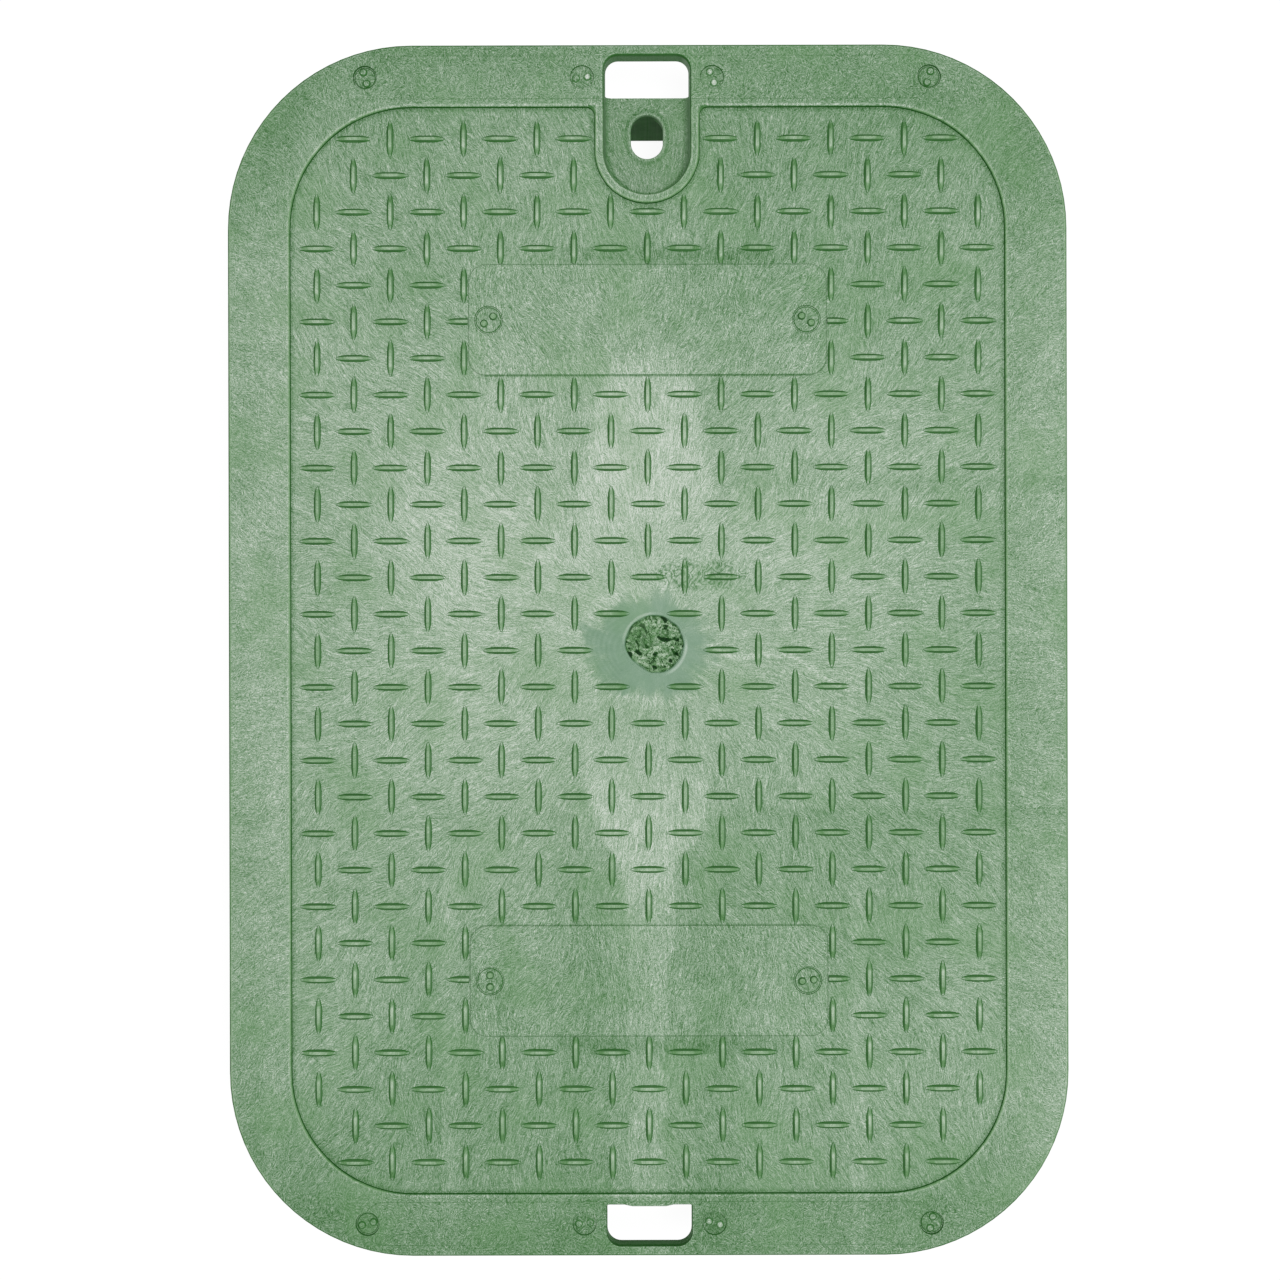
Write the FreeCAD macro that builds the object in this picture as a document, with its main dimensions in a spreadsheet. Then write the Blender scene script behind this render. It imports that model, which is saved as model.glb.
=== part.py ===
"""Valve box cover, moulded in one piece: a flanged lid with a tread of raised lugs, a finger pocket with a
lock bolt slot at one end, a finger slot at the other, and a skirt and a grid of ribs under the deck.

Millimetres. +Z is up, +Y points to the finger pocket, and the origin is the middle of the skirt's foot plane."""

import FreeCAD, Part
import math
import os

import Sketcher
from FreeCAD import Placement, Rotation, Vector

# Driving sizes: alias, value, meaning
SIZES = (
    ("cover_length", 428.5, "flange, end to end"),
    ("cover_width", 297, "flange, side to side"),
    ("cover_height", 40, "skirt foot to rim top"),
    ("corner_radius", 65, "flange corner in plan"),
    ("edge_round", 1.2, "fillet on the flange's top outer edge"),
    ("flange_thickness", 6, "rim top to the seat that lies on the box"),
    ("deck_thickness", 5, "tread field to the deck's underside"),
    ("rim_width", 22, "raised rim, flange edge to tread field"),
    ("field_drop", 1, "tread field below the rim"),
    ("step_bevel", 0.4, "bevel along the rim's inner edge"),
    ("skirt_inset", 16.65, "flange edge to the skirt's outer face"),
    ("skirt_wall", 6, "skirt thickness"),
    ("rib_wall", 3.5, "rib thickness"),
    ("rib_shortfall", 4, "ribs stop this far above the skirt's foot"),
    ("long_rib_pitch", 70, "between ribs that run end to end"),
    ("cross_rib_pitch", 59, "between ribs that run side to side"),
    ("pocket_width", 31, "finger pocket, side to side"),
    ("pocket_reach", 36.35, "finger pocket, skirt's outer face to its round end"),
    ("pocket_depth", 8, "finger pocket below the rim top"),
    ("pocket_draft", 6, "lean of the pocket's wall, degrees"),
    ("pocket_floor", 4, "thickness under the pocket"),
    ("border_width", 3, "raised border round the pocket"),
    ("border_round", 3, "corner where that border meets the rim"),
    ("slot_width", 30.4, "finger slot at the plain end, side to side"),
    ("slot_length", 14.55, "finger slot at the plain end, end to end"),
    ("slot_margin", 3.5, "flange left outside the finger slots"),
    ("slot_round", 4.5, "outer corners of the finger slots"),
    ("bolt_slot_width", 11.5, "lock bolt slot, side to side"),
    ("bolt_slot_length", 15.6, "lock bolt slot, end to end"),
    ("bolt_slot_setback", 13.9, "skirt's outer face to the middle of the bolt slot"),
    ("plate_width", 126.5, "blank name plate, side to side"),
    ("plate_height", 39, "blank name plate, end to end"),
    ("plate_round", 6, "name plate corner"),
    ("plate_offset", 117, "cover's middle to the plate's middle"),
    ("plate_rise", 0.2, "name plate above the tread field"),
    ("gate_radius", 10.2, "moulding gate scar"),
    ("gate_depth", 0.8, "gate scar below the tread field"),
    ("gate_shift", 2.1, "gate scar off the middle, to the right and up"),
    ("gate_clear", 15, "no lug is centred nearer the middle than this"),
    ("lug_column_pitch", 13, "tread grid, side to side"),
    ("lug_row_pitch", 12.94, "tread grid, end to end"),
    ("lug_length", 12.6, "tread lug on the field, end to end"),
    ("lug_width", 2.5, "tread lug on the field, side to side"),
    ("lug_height", 0.95, "tread lug above the field"),
    ("lug_top_length", 4.4, "flat top of a lug, end to end"),
    ("lug_top_width", 0.8, "flat top of a lug, side to side"),
)
LUG_ROOT = 0.3
SEAT_HEIGHT = "(sizes.cover_height - sizes.flange_thickness)"
FIELD_HEIGHT = "(sizes.cover_height - sizes.field_drop)"
DECK_BOTTOM = "(sizes.cover_height - sizes.field_drop - sizes.deck_thickness)"
HALF_WIDTH = "sizes.cover_width / 2"
HALF_LENGTH = "sizes.cover_length / 2"
SKIRT_END = f"({HALF_LENGTH} - sizes.skirt_inset)"
SKIRT_IN = "(sizes.skirt_inset + sizes.skirt_wall)"

doc = FreeCAD.newDocument("valve_box_cover")
sheet = doc.addObject("Spreadsheet::Sheet", "sizes")
for row, (alias, size, meaning) in enumerate(SIZES, start=1):
    sheet.set(f"A{row}", meaning)
    sheet.set(f"B{row}", str(size))
    sheet.setAlias(f"B{row}", alias)
doc.recompute()
body = doc.addObject("PartDesign::Body", "moulding")


def value(expression):
    """Number that a sheet expression comes to."""
    return float(sheet.evalExpression(str(expression)))


def origin_feature(role):
    """One of the body's own origin planes or axes."""
    return next(f for f in body.Origin.OriginFeatures if f.Role == role)


def level_sketch(name, height):
    """Empty sketch on a level plane at that height."""
    sketch = body.newObject("Sketcher::SketchObject", name)
    sketch.AttachmentSupport = [(origin_feature("XY_Plane"), "")]
    sketch.MapMode = "FlatFace"
    sketch.setExpression("AttachmentOffset.Base.z", str(height))
    return sketch


def bind(sketch, kind, place, expression):
    """Dimension in a sketch that a sheet expression drives."""
    index = sketch.addConstraint(Sketcher.Constraint(kind, *place, value(expression)))
    sketch.setExpression(f"Constraints[{index}]", str(expression))


def bind_point(sketch, geometry, point, x, y):
    """Holds a point of the sketch at (x, y) from the origin."""
    bind(sketch, "DistanceX", (-1, 1, geometry, point), x)
    bind(sketch, "DistanceY", (-1, 1, geometry, point), y)


def arc(x, y, radius, start, end):
    """Rounded corner of an outline, by its centre, running counterclockwise between two angles in degrees."""
    return {"x": x, "y": y, "radius": radius, "start": start, "end": end}


def point(x, y):
    """Sharp corner of an outline."""
    return {"x": x, "y": y, "radius": None}


def corner_ends(corner):
    """Where an outline comes to a corner and where it leaves it."""
    middle = Vector(value(corner["x"]), value(corner["y"]), 0)
    if corner["radius"] is None:
        return middle, middle
    spoke = Vector(value(corner["radius"]), 0, 0)
    turns = (Rotation(Vector(0, 0, 1), corner[angle]) for angle in ("start", "end"))
    return tuple(middle + turn.multVec(spoke) for turn in turns)


def add_outline(sketch, corners):
    """Closed outline through its corners, counterclockwise, with straight runs tangent to the round ones."""
    ends = [corner_ends(corner) for corner in corners]
    runs = []
    for (_, leave), (arrive, _) in zip(ends, ends[1:] + ends[:1]):
        runs.append(sketch.addGeometry(Part.LineSegment(leave, arrive)))
    for number, corner in enumerate(corners):
        before, after = runs[number - 1], runs[number]
        if corner["radius"] is None:
            sketch.addConstraint(Sketcher.Constraint("Coincident", before, 2, after, 1))
            bind_point(sketch, after, 1, corner["x"], corner["y"])
            continue
        middle = Vector(value(corner["x"]), value(corner["y"]), 0)
        circle = Part.Circle(middle, Vector(0, 0, 1), value(corner["radius"]))
        angles = math.radians(corner["start"]), math.radians(corner["end"])
        bend = sketch.addGeometry(Part.ArcOfCircle(circle, *angles))
        bind_point(sketch, bend, 3, corner["x"], corner["y"])
        bind(sketch, "Radius", (bend,), corner["radius"])
        sketch.addConstraint(Sketcher.Constraint("Tangent", before, 2, bend, 1))
        sketch.addConstraint(Sketcher.Constraint("Tangent", bend, 2, after, 1))


def add_circle(sketch, x, y, radius):
    """Circle held by its centre and radius."""
    circle = Part.Circle(Vector(value(x), value(y), 0), Vector(0, 0, 1), value(radius))
    geometry = sketch.addGeometry(circle)
    bind_point(sketch, geometry, 3, x, y)
    bind(sketch, "Radius", (geometry,), radius)


def rounded_rectangle(half_width, half_length, radius, middle="0"):
    """Outline of a rounded rectangle whose middle lies on the Y axis."""
    x = f"({half_width} - {radius})"
    y = f"({half_length} - {radius})"
    return [
        arc(x, f"{middle} + {y}", radius, 0, 90),
        arc(f"-{x}", f"{middle} + {y}", radius, 90, 180),
        arc(f"-{x}", f"{middle} - {y}", radius, 180, 270),
        arc(x, f"{middle} - {y}", radius, 270, 360),
    ]


def flange_outline(inset):
    """The flange's own outline, moved in by an inset."""
    return rounded_rectangle(
        f"({HALF_WIDTH} - {inset})", f"({HALF_LENGTH} - {inset})", f"(sizes.corner_radius - {inset})"
    )


def rectangle(left, right, bottom, top):
    """Outline of a plain rectangle."""
    return [point(right, bottom), point(right, top), point(left, top), point(left, bottom)]


def tongue(half_width, grown, top, top_round=None):
    """Outline of the finger pocket grown by a margin: a half round end, straight sides and a far end."""
    end = f"({SKIRT_END} - sizes.pocket_reach + sizes.pocket_width / 2)"
    side = f"({half_width} + {grown})"
    round_end = arc("0", end, side, 180, 360)
    if top_round is None:
        return [round_end, point(side, top), point(f"-{side}", top)]
    x = f"({side} - {top_round})"
    y = f"({top} - {top_round})"
    return [round_end, arc(x, y, top_round, 0, 90), arc(f"-{x}", y, top_round, 90, 180)]


def extrude(kind, name, sketch, length, upward=False, draft=None):
    """Pad or pocket of a sketch, with a length from the sheet."""
    feature = body.newObject(f"PartDesign::{kind}", name)
    feature.Profile = sketch
    feature.setExpression("Length", str(length))
    feature.Reversed = upward
    if draft is not None:
        feature.setExpression("TaperAngle", str(draft))
    sketch.Visibility = False
    doc.recompute()
    body.Tip = feature
    return feature


def pattern(name, feature, axis, pitch, count):
    """Row of copies of a feature along one of the body's axes."""
    row_of = body.newObject("PartDesign::LinearPattern", name)
    row_of.Originals = [feature]
    row_of.Direction = (origin_feature(axis), [""])
    row_of.Occurrences = count
    row_of.setExpression("Length", f"{count - 1} * {pitch}")
    doc.recompute()
    body.Tip = row_of
    return row_of


def ease_edges(kind, name, size, chosen):
    """Fillet or chamfer on the edges of the body's last shape that a test picks."""
    last = body.Tip
    names = [f"Edge{n}" for n, edge in enumerate(last.Shape.Edges, start=1) if chosen(edge)]
    feature = body.newObject(f"PartDesign::{kind}", name)
    feature.Base = (last, names)
    feature.setExpression("Radius" if kind == "Fillet" else "Size", str(size))
    doc.recompute()
    body.Tip = feature
    return feature


def ribs_each_side(room, pitch):
    """How many ribs fit between the middle and the skirt, keeping half a pitch clear of the skirt."""
    return max(1, math.floor((value(room) - value(pitch) / 2) / value(pitch)))


def make_flange_and_skirt():
    """The flange, and under it the ring of skirt that drops into the box."""
    sketch = level_sketch("flange_outline", SEAT_HEIGHT)
    add_outline(sketch, flange_outline("0"))
    extrude("Pad", "flange", sketch, "sizes.flange_thickness")
    sketch = level_sketch("skirt_outline", "0")
    add_outline(sketch, flange_outline("sizes.skirt_inset"))
    add_outline(sketch, flange_outline(SKIRT_IN))
    extrude("Pad", "skirt", sketch, SEAT_HEIGHT)


def make_rib_grid():
    """Two rows of ribs under the deck, from skirt to skirt."""
    bite = f"({SKIRT_IN} - sizes.skirt_wall / 2)"
    reach_x = f"({HALF_WIDTH} - {bite})"
    reach_y = f"({HALF_LENGTH} - {bite})"
    half_wall = "sizes.rib_wall / 2"
    depth = f"({SEAT_HEIGHT} - sizes.rib_shortfall)"

    each_side = ribs_each_side(reach_x, "sizes.long_rib_pitch")
    first = f"-{each_side} * sizes.long_rib_pitch"
    sketch = level_sketch("long_rib_outline", "sizes.rib_shortfall")
    add_outline(sketch, rectangle(f"{first} - {half_wall}", f"{first} + {half_wall}", f"-{reach_y}", reach_y))
    rib = extrude("Pad", "long_rib", sketch, depth)
    pattern("long_ribs", rib, "X_Axis", "sizes.long_rib_pitch", 2 * each_side + 1)

    each_side = ribs_each_side(reach_y, "sizes.cross_rib_pitch")
    first = f"-{each_side} * sizes.cross_rib_pitch"
    sketch = level_sketch("cross_rib_outline", "sizes.rib_shortfall")
    add_outline(sketch, rectangle(f"-{reach_x}", reach_x, f"{first} - {half_wall}", f"{first} + {half_wall}"))
    rib = extrude("Pad", "cross_rib", sketch, depth)
    pattern("cross_ribs", rib, "Y_Axis", "sizes.cross_rib_pitch", 2 * each_side + 1)


def make_tread_field():
    """The sunk field inside the rim, the deck under it and the border that runs round the pocket."""
    sketch = level_sketch("deck_outline", DECK_BOTTOM)
    add_outline(sketch, flange_outline("(sizes.skirt_inset + sizes.skirt_wall / 2)"))
    extrude("Pad", "deck", sketch, "sizes.deck_thickness")
    sketch = level_sketch("field_outline", "sizes.cover_height")
    add_outline(sketch, flange_outline("sizes.rim_width"))
    extrude("Pocket", "field", sketch, "sizes.field_drop")
    rim_middle = f"({HALF_LENGTH} - sizes.rim_width / 2)"
    sketch = level_sketch("border_outline", FIELD_HEIGHT)
    add_outline(sketch, tongue("sizes.pocket_width / 2", "sizes.border_width", rim_middle))
    extrude("Pad", "border", sketch, "sizes.field_drop")
    border_x = value("sizes.pocket_width / 2 + sizes.border_width")
    border_y = value(f"{HALF_LENGTH} - sizes.rim_width")

    def border_corner(edge):
        box = edge.BoundBox
        upright = box.XLength < 1e-6 and box.YLength < 1e-6
        at_border = abs(abs(box.Center.x) - border_x) < 1e-4
        return upright and at_border and abs(box.Center.y - border_y) < 1e-4

    ease_edges("Fillet", "border_corners", "sizes.border_round", border_corner)


def make_finger_pocket():
    """The pocket, its cup under the deck, the slot that it leaves past the skirt and the lock bolt slot."""
    cup_bottom = "(sizes.cover_height - sizes.pocket_depth - sizes.pocket_floor)"
    sketch = level_sketch("pocket_cup_outline", cup_bottom)
    add_outline(sketch, tongue("sizes.pocket_width / 2", "sizes.border_width", SKIRT_END))
    extrude("Pad", "pocket_cup", sketch, f"({DECK_BOTTOM} - {cup_bottom})")
    sketch = level_sketch("bolt_bay_outline", "0")
    skirt_face = f"({HALF_LENGTH} - {SKIRT_IN})"
    add_outline(sketch, tongue("sizes.pocket_width / 2", "sizes.border_width", skirt_face))
    extrude("Pocket", "bolt_bay", sketch, cup_bottom, upward=True)
    sketch = level_sketch("finger_pocket_outline", "sizes.cover_height")
    far_end = f"({HALF_LENGTH} - sizes.slot_margin)"
    add_outline(sketch, tongue("sizes.pocket_width / 2", "0", far_end, "sizes.slot_round"))
    extrude("Pocket", "finger_pocket", sketch, "sizes.pocket_depth", draft="-sizes.pocket_draft")
    sketch = level_sketch("bolt_slot_outline", "sizes.cover_height")
    radius = "(sizes.bolt_slot_width / 2)"
    middle = f"({SKIRT_END} - sizes.bolt_slot_setback)"
    straight = f"(sizes.bolt_slot_length / 2 - {radius})"
    add_outline(
        sketch,
        [arc("0", f"{middle} + {straight}", radius, 0, 180), arc("0", f"{middle} - {straight}", radius, 180, 360)],
    )
    extrude("Pocket", "bolt_slot", sketch, "(sizes.pocket_depth + sizes.pocket_floor)")


def make_plain_slot():
    """Finger slot through the flange at the plain end. It reaches a little way over the skirt."""
    sketch = level_sketch("plain_slot_outline", "sizes.cover_height")
    x = "sizes.slot_width / 2"
    bend_x = f"({x} - sizes.slot_round)"
    bend_y = f"-({HALF_LENGTH} - sizes.slot_margin - sizes.slot_round)"
    inner_y = f"-({HALF_LENGTH} - sizes.slot_margin - sizes.slot_length)"
    add_outline(
        sketch,
        [
            point(x, inner_y),
            point(f"-{x}", inner_y),
            arc(f"-{bend_x}", bend_y, "sizes.slot_round", 180, 270),
            arc(bend_x, bend_y, "sizes.slot_round", 270, 360),
        ],
    )
    extrude("Pocket", "plain_slot", sketch, "sizes.flange_thickness")


def make_plates_and_scar():
    """The two blank name plates and the scar of the moulding gate."""
    sketch = level_sketch("plate_outlines", FIELD_HEIGHT)
    for side in (-1, 1):
        add_outline(sketch, plate_outline(side))
    extrude("Pad", "name_plates", sketch, "sizes.plate_rise")
    sketch = level_sketch("gate_scar_outline", FIELD_HEIGHT)
    add_circle(sketch, "sizes.gate_shift", "sizes.gate_shift", "sizes.gate_radius")
    extrude("Pocket", "gate_scar", sketch, "sizes.gate_depth")


def plate_outline(side):
    """Outline of the name plate at one end."""
    return rounded_rectangle(
        "sizes.plate_width / 2", "sizes.plate_height / 2", "sizes.plate_round", f"{side} * sizes.plate_offset"
    )


def ease_rim():
    """Rounds the flange's top outer edge and bevels the rim's inner edge."""
    top = value("sizes.cover_height")
    half_width = value(HALF_WIDTH)
    half_length = value(HALF_LENGTH)
    corner = value("sizes.corner_radius")

    def rim_depth(edge):
        """How far inside the flange's outline the middle of an edge at the rim's top lies."""
        middle = edge.valueAt((edge.FirstParameter + edge.LastParameter) / 2)
        x = max(abs(middle.x) - half_width + corner, 0)
        y = max(abs(middle.y) - half_length + corner, 0)
        if x > 0 and y > 0:
            return corner - math.hypot(x, y)
        return min(half_width - abs(middle.x), half_length - abs(middle.y))

    def at_top(edge):
        return edge.BoundBox.ZLength < 1e-6 and abs(edge.BoundBox.ZMax - top) < 1e-4

    def on_outline(edge):
        return at_top(edge) and abs(rim_depth(edge)) < 1e-4

    rim_width = value("sizes.rim_width")
    border_x = value("sizes.pocket_width / 2 + sizes.border_width")

    def on_step(edge):
        along_rim = abs(rim_depth(edge) - rim_width) < 1e-4
        middle = edge.valueAt((edge.FirstParameter + edge.LastParameter) / 2)
        past_rim = rim_depth(edge) > rim_width - value("sizes.border_round")
        along_border = past_rim and abs(middle.x) < border_x + value("sizes.border_round") and middle.y > 0
        outside_pocket = not_pocket_edge(middle)
        return at_top(edge) and (along_rim or along_border) and outside_pocket

    def not_pocket_edge(middle):
        round_middle = value(f"{SKIRT_END} - sizes.pocket_reach + sizes.pocket_width / 2")
        margin = value("sizes.pocket_width / 2 + sizes.border_width / 2")
        if middle.y > round_middle:
            return abs(middle.x) > margin
        return math.hypot(middle.x, middle.y - round_middle) > margin

    ease_edges("Fillet", "flange_edge", "sizes.edge_round", on_outline)
    ease_edges("Chamfer", "rim_step", "sizes.step_bevel", on_step)


def lug_solid():
    """One tread lug along X on the plane z = 0: a pointed foot with two shoulders a side, and planes that lean in
    from it to a narrow flat top. The planes run on below z = 0, so that the lug is rooted in the deck."""
    tip = value("sizes.lug_length / 2")
    shoulder = value("sizes.lug_top_length / 2")
    foot = value("sizes.lug_width / 2")
    top = value("sizes.lug_top_width / 2")
    height = value("sizes.lug_height")
    planes = []
    for side in (-1, 1):
        shoulders = [Vector(end * shoulder, side * foot, 0) for end in (-1, 1)]
        planes.append((*shoulders, Vector(0, side * top, height)))
        for end, at_shoulder in zip((-1, 1), shoulders):
            planes.append((Vector(end * tip, 0, 0), at_shoulder, Vector(end * shoulder, side * top, height)))
    for end in (-1, 1):
        top_end = [Vector(end * shoulder, side * top, height) for side in (-1, 1)]
        planes.append((Vector(end * tip, 0, 0), *top_end))
    solid = Part.makeBox(4 * tip, 4 * foot, height + LUG_ROOT, Vector(-2 * tip, -2 * foot, -LUG_ROOT))
    for three_points in planes:
        solid = solid.common(Part.Plane(*three_points).toShape().makeHalfSpace(Vector(0, 0, 0)))
    return solid


def inside_rounded(x, y, half_width, half_length, radius):
    """Whether a point lies inside a rounded rectangle at the origin."""
    if abs(x) > half_width or abs(y) > half_length:
        return False
    over = (max(abs(x) - half_width + radius, 0), max(abs(y) - half_length + radius, 0))
    return math.hypot(*over) <= radius


def lug_places():
    """Grid places that carry a lug, as (x, y, lies along Y). Lugs that would cross the rim, the pocket's border,
    a name plate's middle or the gate scar are left out."""
    column_pitch = value("sizes.lug_column_pitch")
    row_pitch = value("sizes.lug_row_pitch")
    rim_width = value("sizes.rim_width")
    field = (value(HALF_WIDTH) - rim_width, value(HALF_LENGTH) - rim_width)
    field_round = value("sizes.corner_radius") - rim_width
    plate = (value("sizes.plate_width / 2"), value("sizes.plate_height / 2"))
    plate_offset = value("sizes.plate_offset")
    border = value("sizes.pocket_width / 2 + sizes.border_width")
    border_end = value(f"{SKIRT_END} - sizes.pocket_reach + sizes.pocket_width / 2")
    half_lug = (value("sizes.lug_length / 2"), value("sizes.lug_width / 2"))

    def in_border(x, y):
        return abs(x) < border if y > border_end else math.hypot(x, y - border_end) < border

    def carries(x, y, upright):
        dx, dy = half_lug[::-1] if upright else half_lug
        tips = [(x - dx, y), (x + dx, y), (x, y - dy), (x, y + dy)]
        on_field = all(inside_rounded(*tip, *field, field_round) for tip in tips)
        clear_of_border = not any(in_border(*tip) for tip in tips)
        on_plate = abs(x) < plate[0] and abs(abs(y) - plate_offset) < plate[1]
        near_gate = math.hypot(x, y) < value("sizes.gate_clear")
        return on_field and clear_of_border and not on_plate and not near_gate

    columns = math.floor(field[0] / column_pitch)
    rows = math.floor(field[1] / row_pitch)
    for row in range(-rows, rows + 1):
        for column in range(-columns, columns + 1):
            x, y = column * column_pitch, row * row_pitch
            upright = (row + column) % 2 == 1
            if carries(x, y, upright):
                yield x, y, upright


def make_lugs():
    """All tread lugs, in place on the field. A name plate cuts short the lugs that reach over its edge."""
    field_height = value(FIELD_HEIGHT)
    lug = lug_solid()
    plates = [plate_block(side) for side in (-1, 1)]
    lugs = []
    for x, y, upright in lug_places():
        placed = lug.copy()
        turn = Rotation(Vector(0, 0, 1), 90 if upright else 0)
        placed.Placement = Placement(Vector(x, y, field_height), turn)
        for plate in plates:
            if placed.BoundBox.intersect(plate.BoundBox):
                placed = placed.cut(plate)
        lugs.append(placed)
    feature = doc.addObject("Part::Feature", "tread_lugs")
    feature.Shape = Part.makeCompound(lugs)
    return feature


def plate_block(side):
    """Block on the place of a name plate, through the height and the root of the lugs."""
    width = value("sizes.plate_width")
    height = value("sizes.plate_height")
    low = Vector(-width / 2, side * value("sizes.plate_offset") - height / 2, value(FIELD_HEIGHT) - 2 * LUG_ROOT)
    return Part.makeBox(width, height, value("sizes.lug_height") + 4 * LUG_ROOT, low)


def check(shape, lug_count):
    """Stops the script unless every object recomputed and the cover is one sound solid with all its lugs."""
    for thing in doc.Objects:
        if {"Invalid", "Error"} & set(thing.State):
            raise RuntimeError(f"{thing.Label} did not recompute: {thing.State}")
    if shape.isNull() or not shape.isValid() or len(shape.Solids) != 1:
        raise RuntimeError("the cover is not one sound solid")
    lug_top = value(f"{FIELD_HEIGHT} + sizes.lug_height")
    flats = [face for face in shape.Faces if face.BoundBox.ZMin > lug_top - 1e-4]
    if value("sizes.lug_height") < value("sizes.field_drop") and len(flats) < lug_count:
        raise RuntimeError("a tread lug did not join the deck")


make_flange_and_skirt()
make_rib_grid()
make_tread_field()
make_finger_pocket()
make_plain_slot()
make_plates_and_scar()
ease_rim()
lugs = make_lugs()
cover = doc.addObject("Part::Fuse", "cover")
cover.Base = body
cover.Tool = lugs
cover.Label = "cover"
doc.recompute()
check(cover.Shape, len(lugs.Shape.Solids))
os.makedirs("parts", exist_ok=True)
cover.Shape.exportStep(f"parts/{cover.Label}.step")
print(f"cover: {len(lugs.Shape.Solids)} lugs, {cover.Shape.Volume / 1000:.0f} cm3, {len(cover.Shape.Faces)} faces")
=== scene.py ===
# %% [markdown]
# # A valve box cover
# This cover drops into the rim of a buried valve box. It is one moulding of green structural foam plastic: a flange
# with rounded corners, a sunk field of small tread lugs, a finger pocket with a slot for a lock bolt at one end, a
# finger slot at the other end, and a skirt with ribs below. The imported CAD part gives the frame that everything
# here keeps to. The moulding is rebuilt with rounded edges and fine marks, because the CAD solid leaves those out.

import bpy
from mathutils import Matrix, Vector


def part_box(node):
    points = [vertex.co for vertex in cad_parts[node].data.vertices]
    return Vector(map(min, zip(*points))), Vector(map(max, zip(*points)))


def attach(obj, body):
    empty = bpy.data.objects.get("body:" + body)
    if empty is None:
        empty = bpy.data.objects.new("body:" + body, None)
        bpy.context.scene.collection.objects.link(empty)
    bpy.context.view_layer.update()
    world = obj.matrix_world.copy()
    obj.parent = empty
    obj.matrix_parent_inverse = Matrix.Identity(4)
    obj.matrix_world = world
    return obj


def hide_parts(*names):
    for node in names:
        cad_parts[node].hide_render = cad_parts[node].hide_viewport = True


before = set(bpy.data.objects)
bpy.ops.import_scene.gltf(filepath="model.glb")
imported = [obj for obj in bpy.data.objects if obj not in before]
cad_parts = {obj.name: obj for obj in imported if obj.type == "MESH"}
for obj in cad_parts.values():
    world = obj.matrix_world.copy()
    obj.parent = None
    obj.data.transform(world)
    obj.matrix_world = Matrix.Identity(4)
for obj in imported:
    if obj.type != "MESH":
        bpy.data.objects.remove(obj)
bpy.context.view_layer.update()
low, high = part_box("cover")
print("CAD cover, mm:", [round(1000 * (b - a), 2) for a, b in zip(low, high)])

# %% [markdown]
# The overall size comes from the frame. The other sizes are those of the moulding itself, in millimetres, and they
# repeat what the CAD solid has. Blender works in metres, so `MM` turns one into the other when a mesh is made.

# %% Sizes of the moulding
import math

import bpy
from mathutils import Vector, noise

MM = 0.001
half_width = high.x / MM
half_length = high.y / MM
rim_top = high.z / MM
CORNER = 65
FLANGE = 6
RIM = 22
FIELD_DROP = 1
SKIRT_INSET = 16.65
SKIRT_WALL = 6
POCKET_HALF = 15.5
POCKET_REACH = 36.35
POCKET_DEPTH = 8
POCKET_LEAN = math.tan(math.radians(6))
BORDER_WIDTH = 3
BORDER_ROUND = 3
SLOT_MARGIN = 3.5
SLOT_ROUND = 5.2
seat = rim_top - FLANGE
field = rim_top - FIELD_DROP
pocket_floor = rim_top - POCKET_DEPTH
skirt_end = half_length - SKIRT_INSET
pocket_end = skirt_end - POCKET_REACH + POCKET_HALF
border_half = POCKET_HALF + BORDER_WIDTH
print("tread field at", field, "mm, flange seat at", seat, "mm")

# %% [markdown]
# Nearly every edge of the cover is made of straight runs and round bends, so outlines are lists of points along
# arcs, with straight runs between them. Each outline takes a `grow` value that moves it out or in without changing
# its number of points. That way, two copies of one outline can always be joined by a strip of faces.

# %% Bends
BEND_STEPS = 20


def bend(x, y, radius, start, end, steps=BEND_STEPS):
    """Points along an arc, in degrees. It runs clockwise where the end angle is the smaller one."""
    turns = [math.radians(start + (end - start) * k / steps) for k in range(steps + 1)]
    return [(x + radius * math.cos(a), y + radius * math.sin(a)) for a in turns]


def four_bends(x, y, radius, middle=0, steps=BEND_STEPS):
    """Rounded rectangle, by the centres of its corners."""
    return [
        *bend(x, middle + y, radius, 0, 90, steps),
        *bend(-x, middle + y, radius, 90, 180, steps),
        *bend(-x, middle - y, radius, 180, 270, steps),
        *bend(x, middle - y, radius, 270, 360, steps),
    ]


print("a bend has", BEND_STEPS + 1, "points, a rounded rectangle", len(four_bends(1, 1, 1)))

# %% Edges of the flange, the tread field and the finger pocket
NOTCH_STEPS = 6
SLOT_STEPS = 8


def flange_outline(inset):
    """Edge of the flange, or a line that runs inside it by this inset."""
    return four_bends(half_width - CORNER, half_length - CORNER, CORNER - inset)


def field_outline(grow):
    """Edge of the tread field. It runs along the rim, and round the raised border of the finger pocket."""
    x, y, radius = half_width - CORNER, half_length - CORNER, CORNER - RIM + grow
    notch_x, notch_y = border_half + BORDER_ROUND, half_length - RIM - BORDER_ROUND
    return [
        *bend(x, y, radius, 0, 90),
        *bend(notch_x, notch_y, BORDER_ROUND + grow, 90, 180, NOTCH_STEPS),
        *bend(0, pocket_end, border_half - grow, 0, -180, 2 * BEND_STEPS),
        *bend(-notch_x, notch_y, BORDER_ROUND + grow, 0, 90, NOTCH_STEPS),
        *bend(-x, y, radius, 90, 180),
        *bend(-x, -y, radius, 180, 270),
        *bend(x, -y, radius, 270, 360),
    ]


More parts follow.
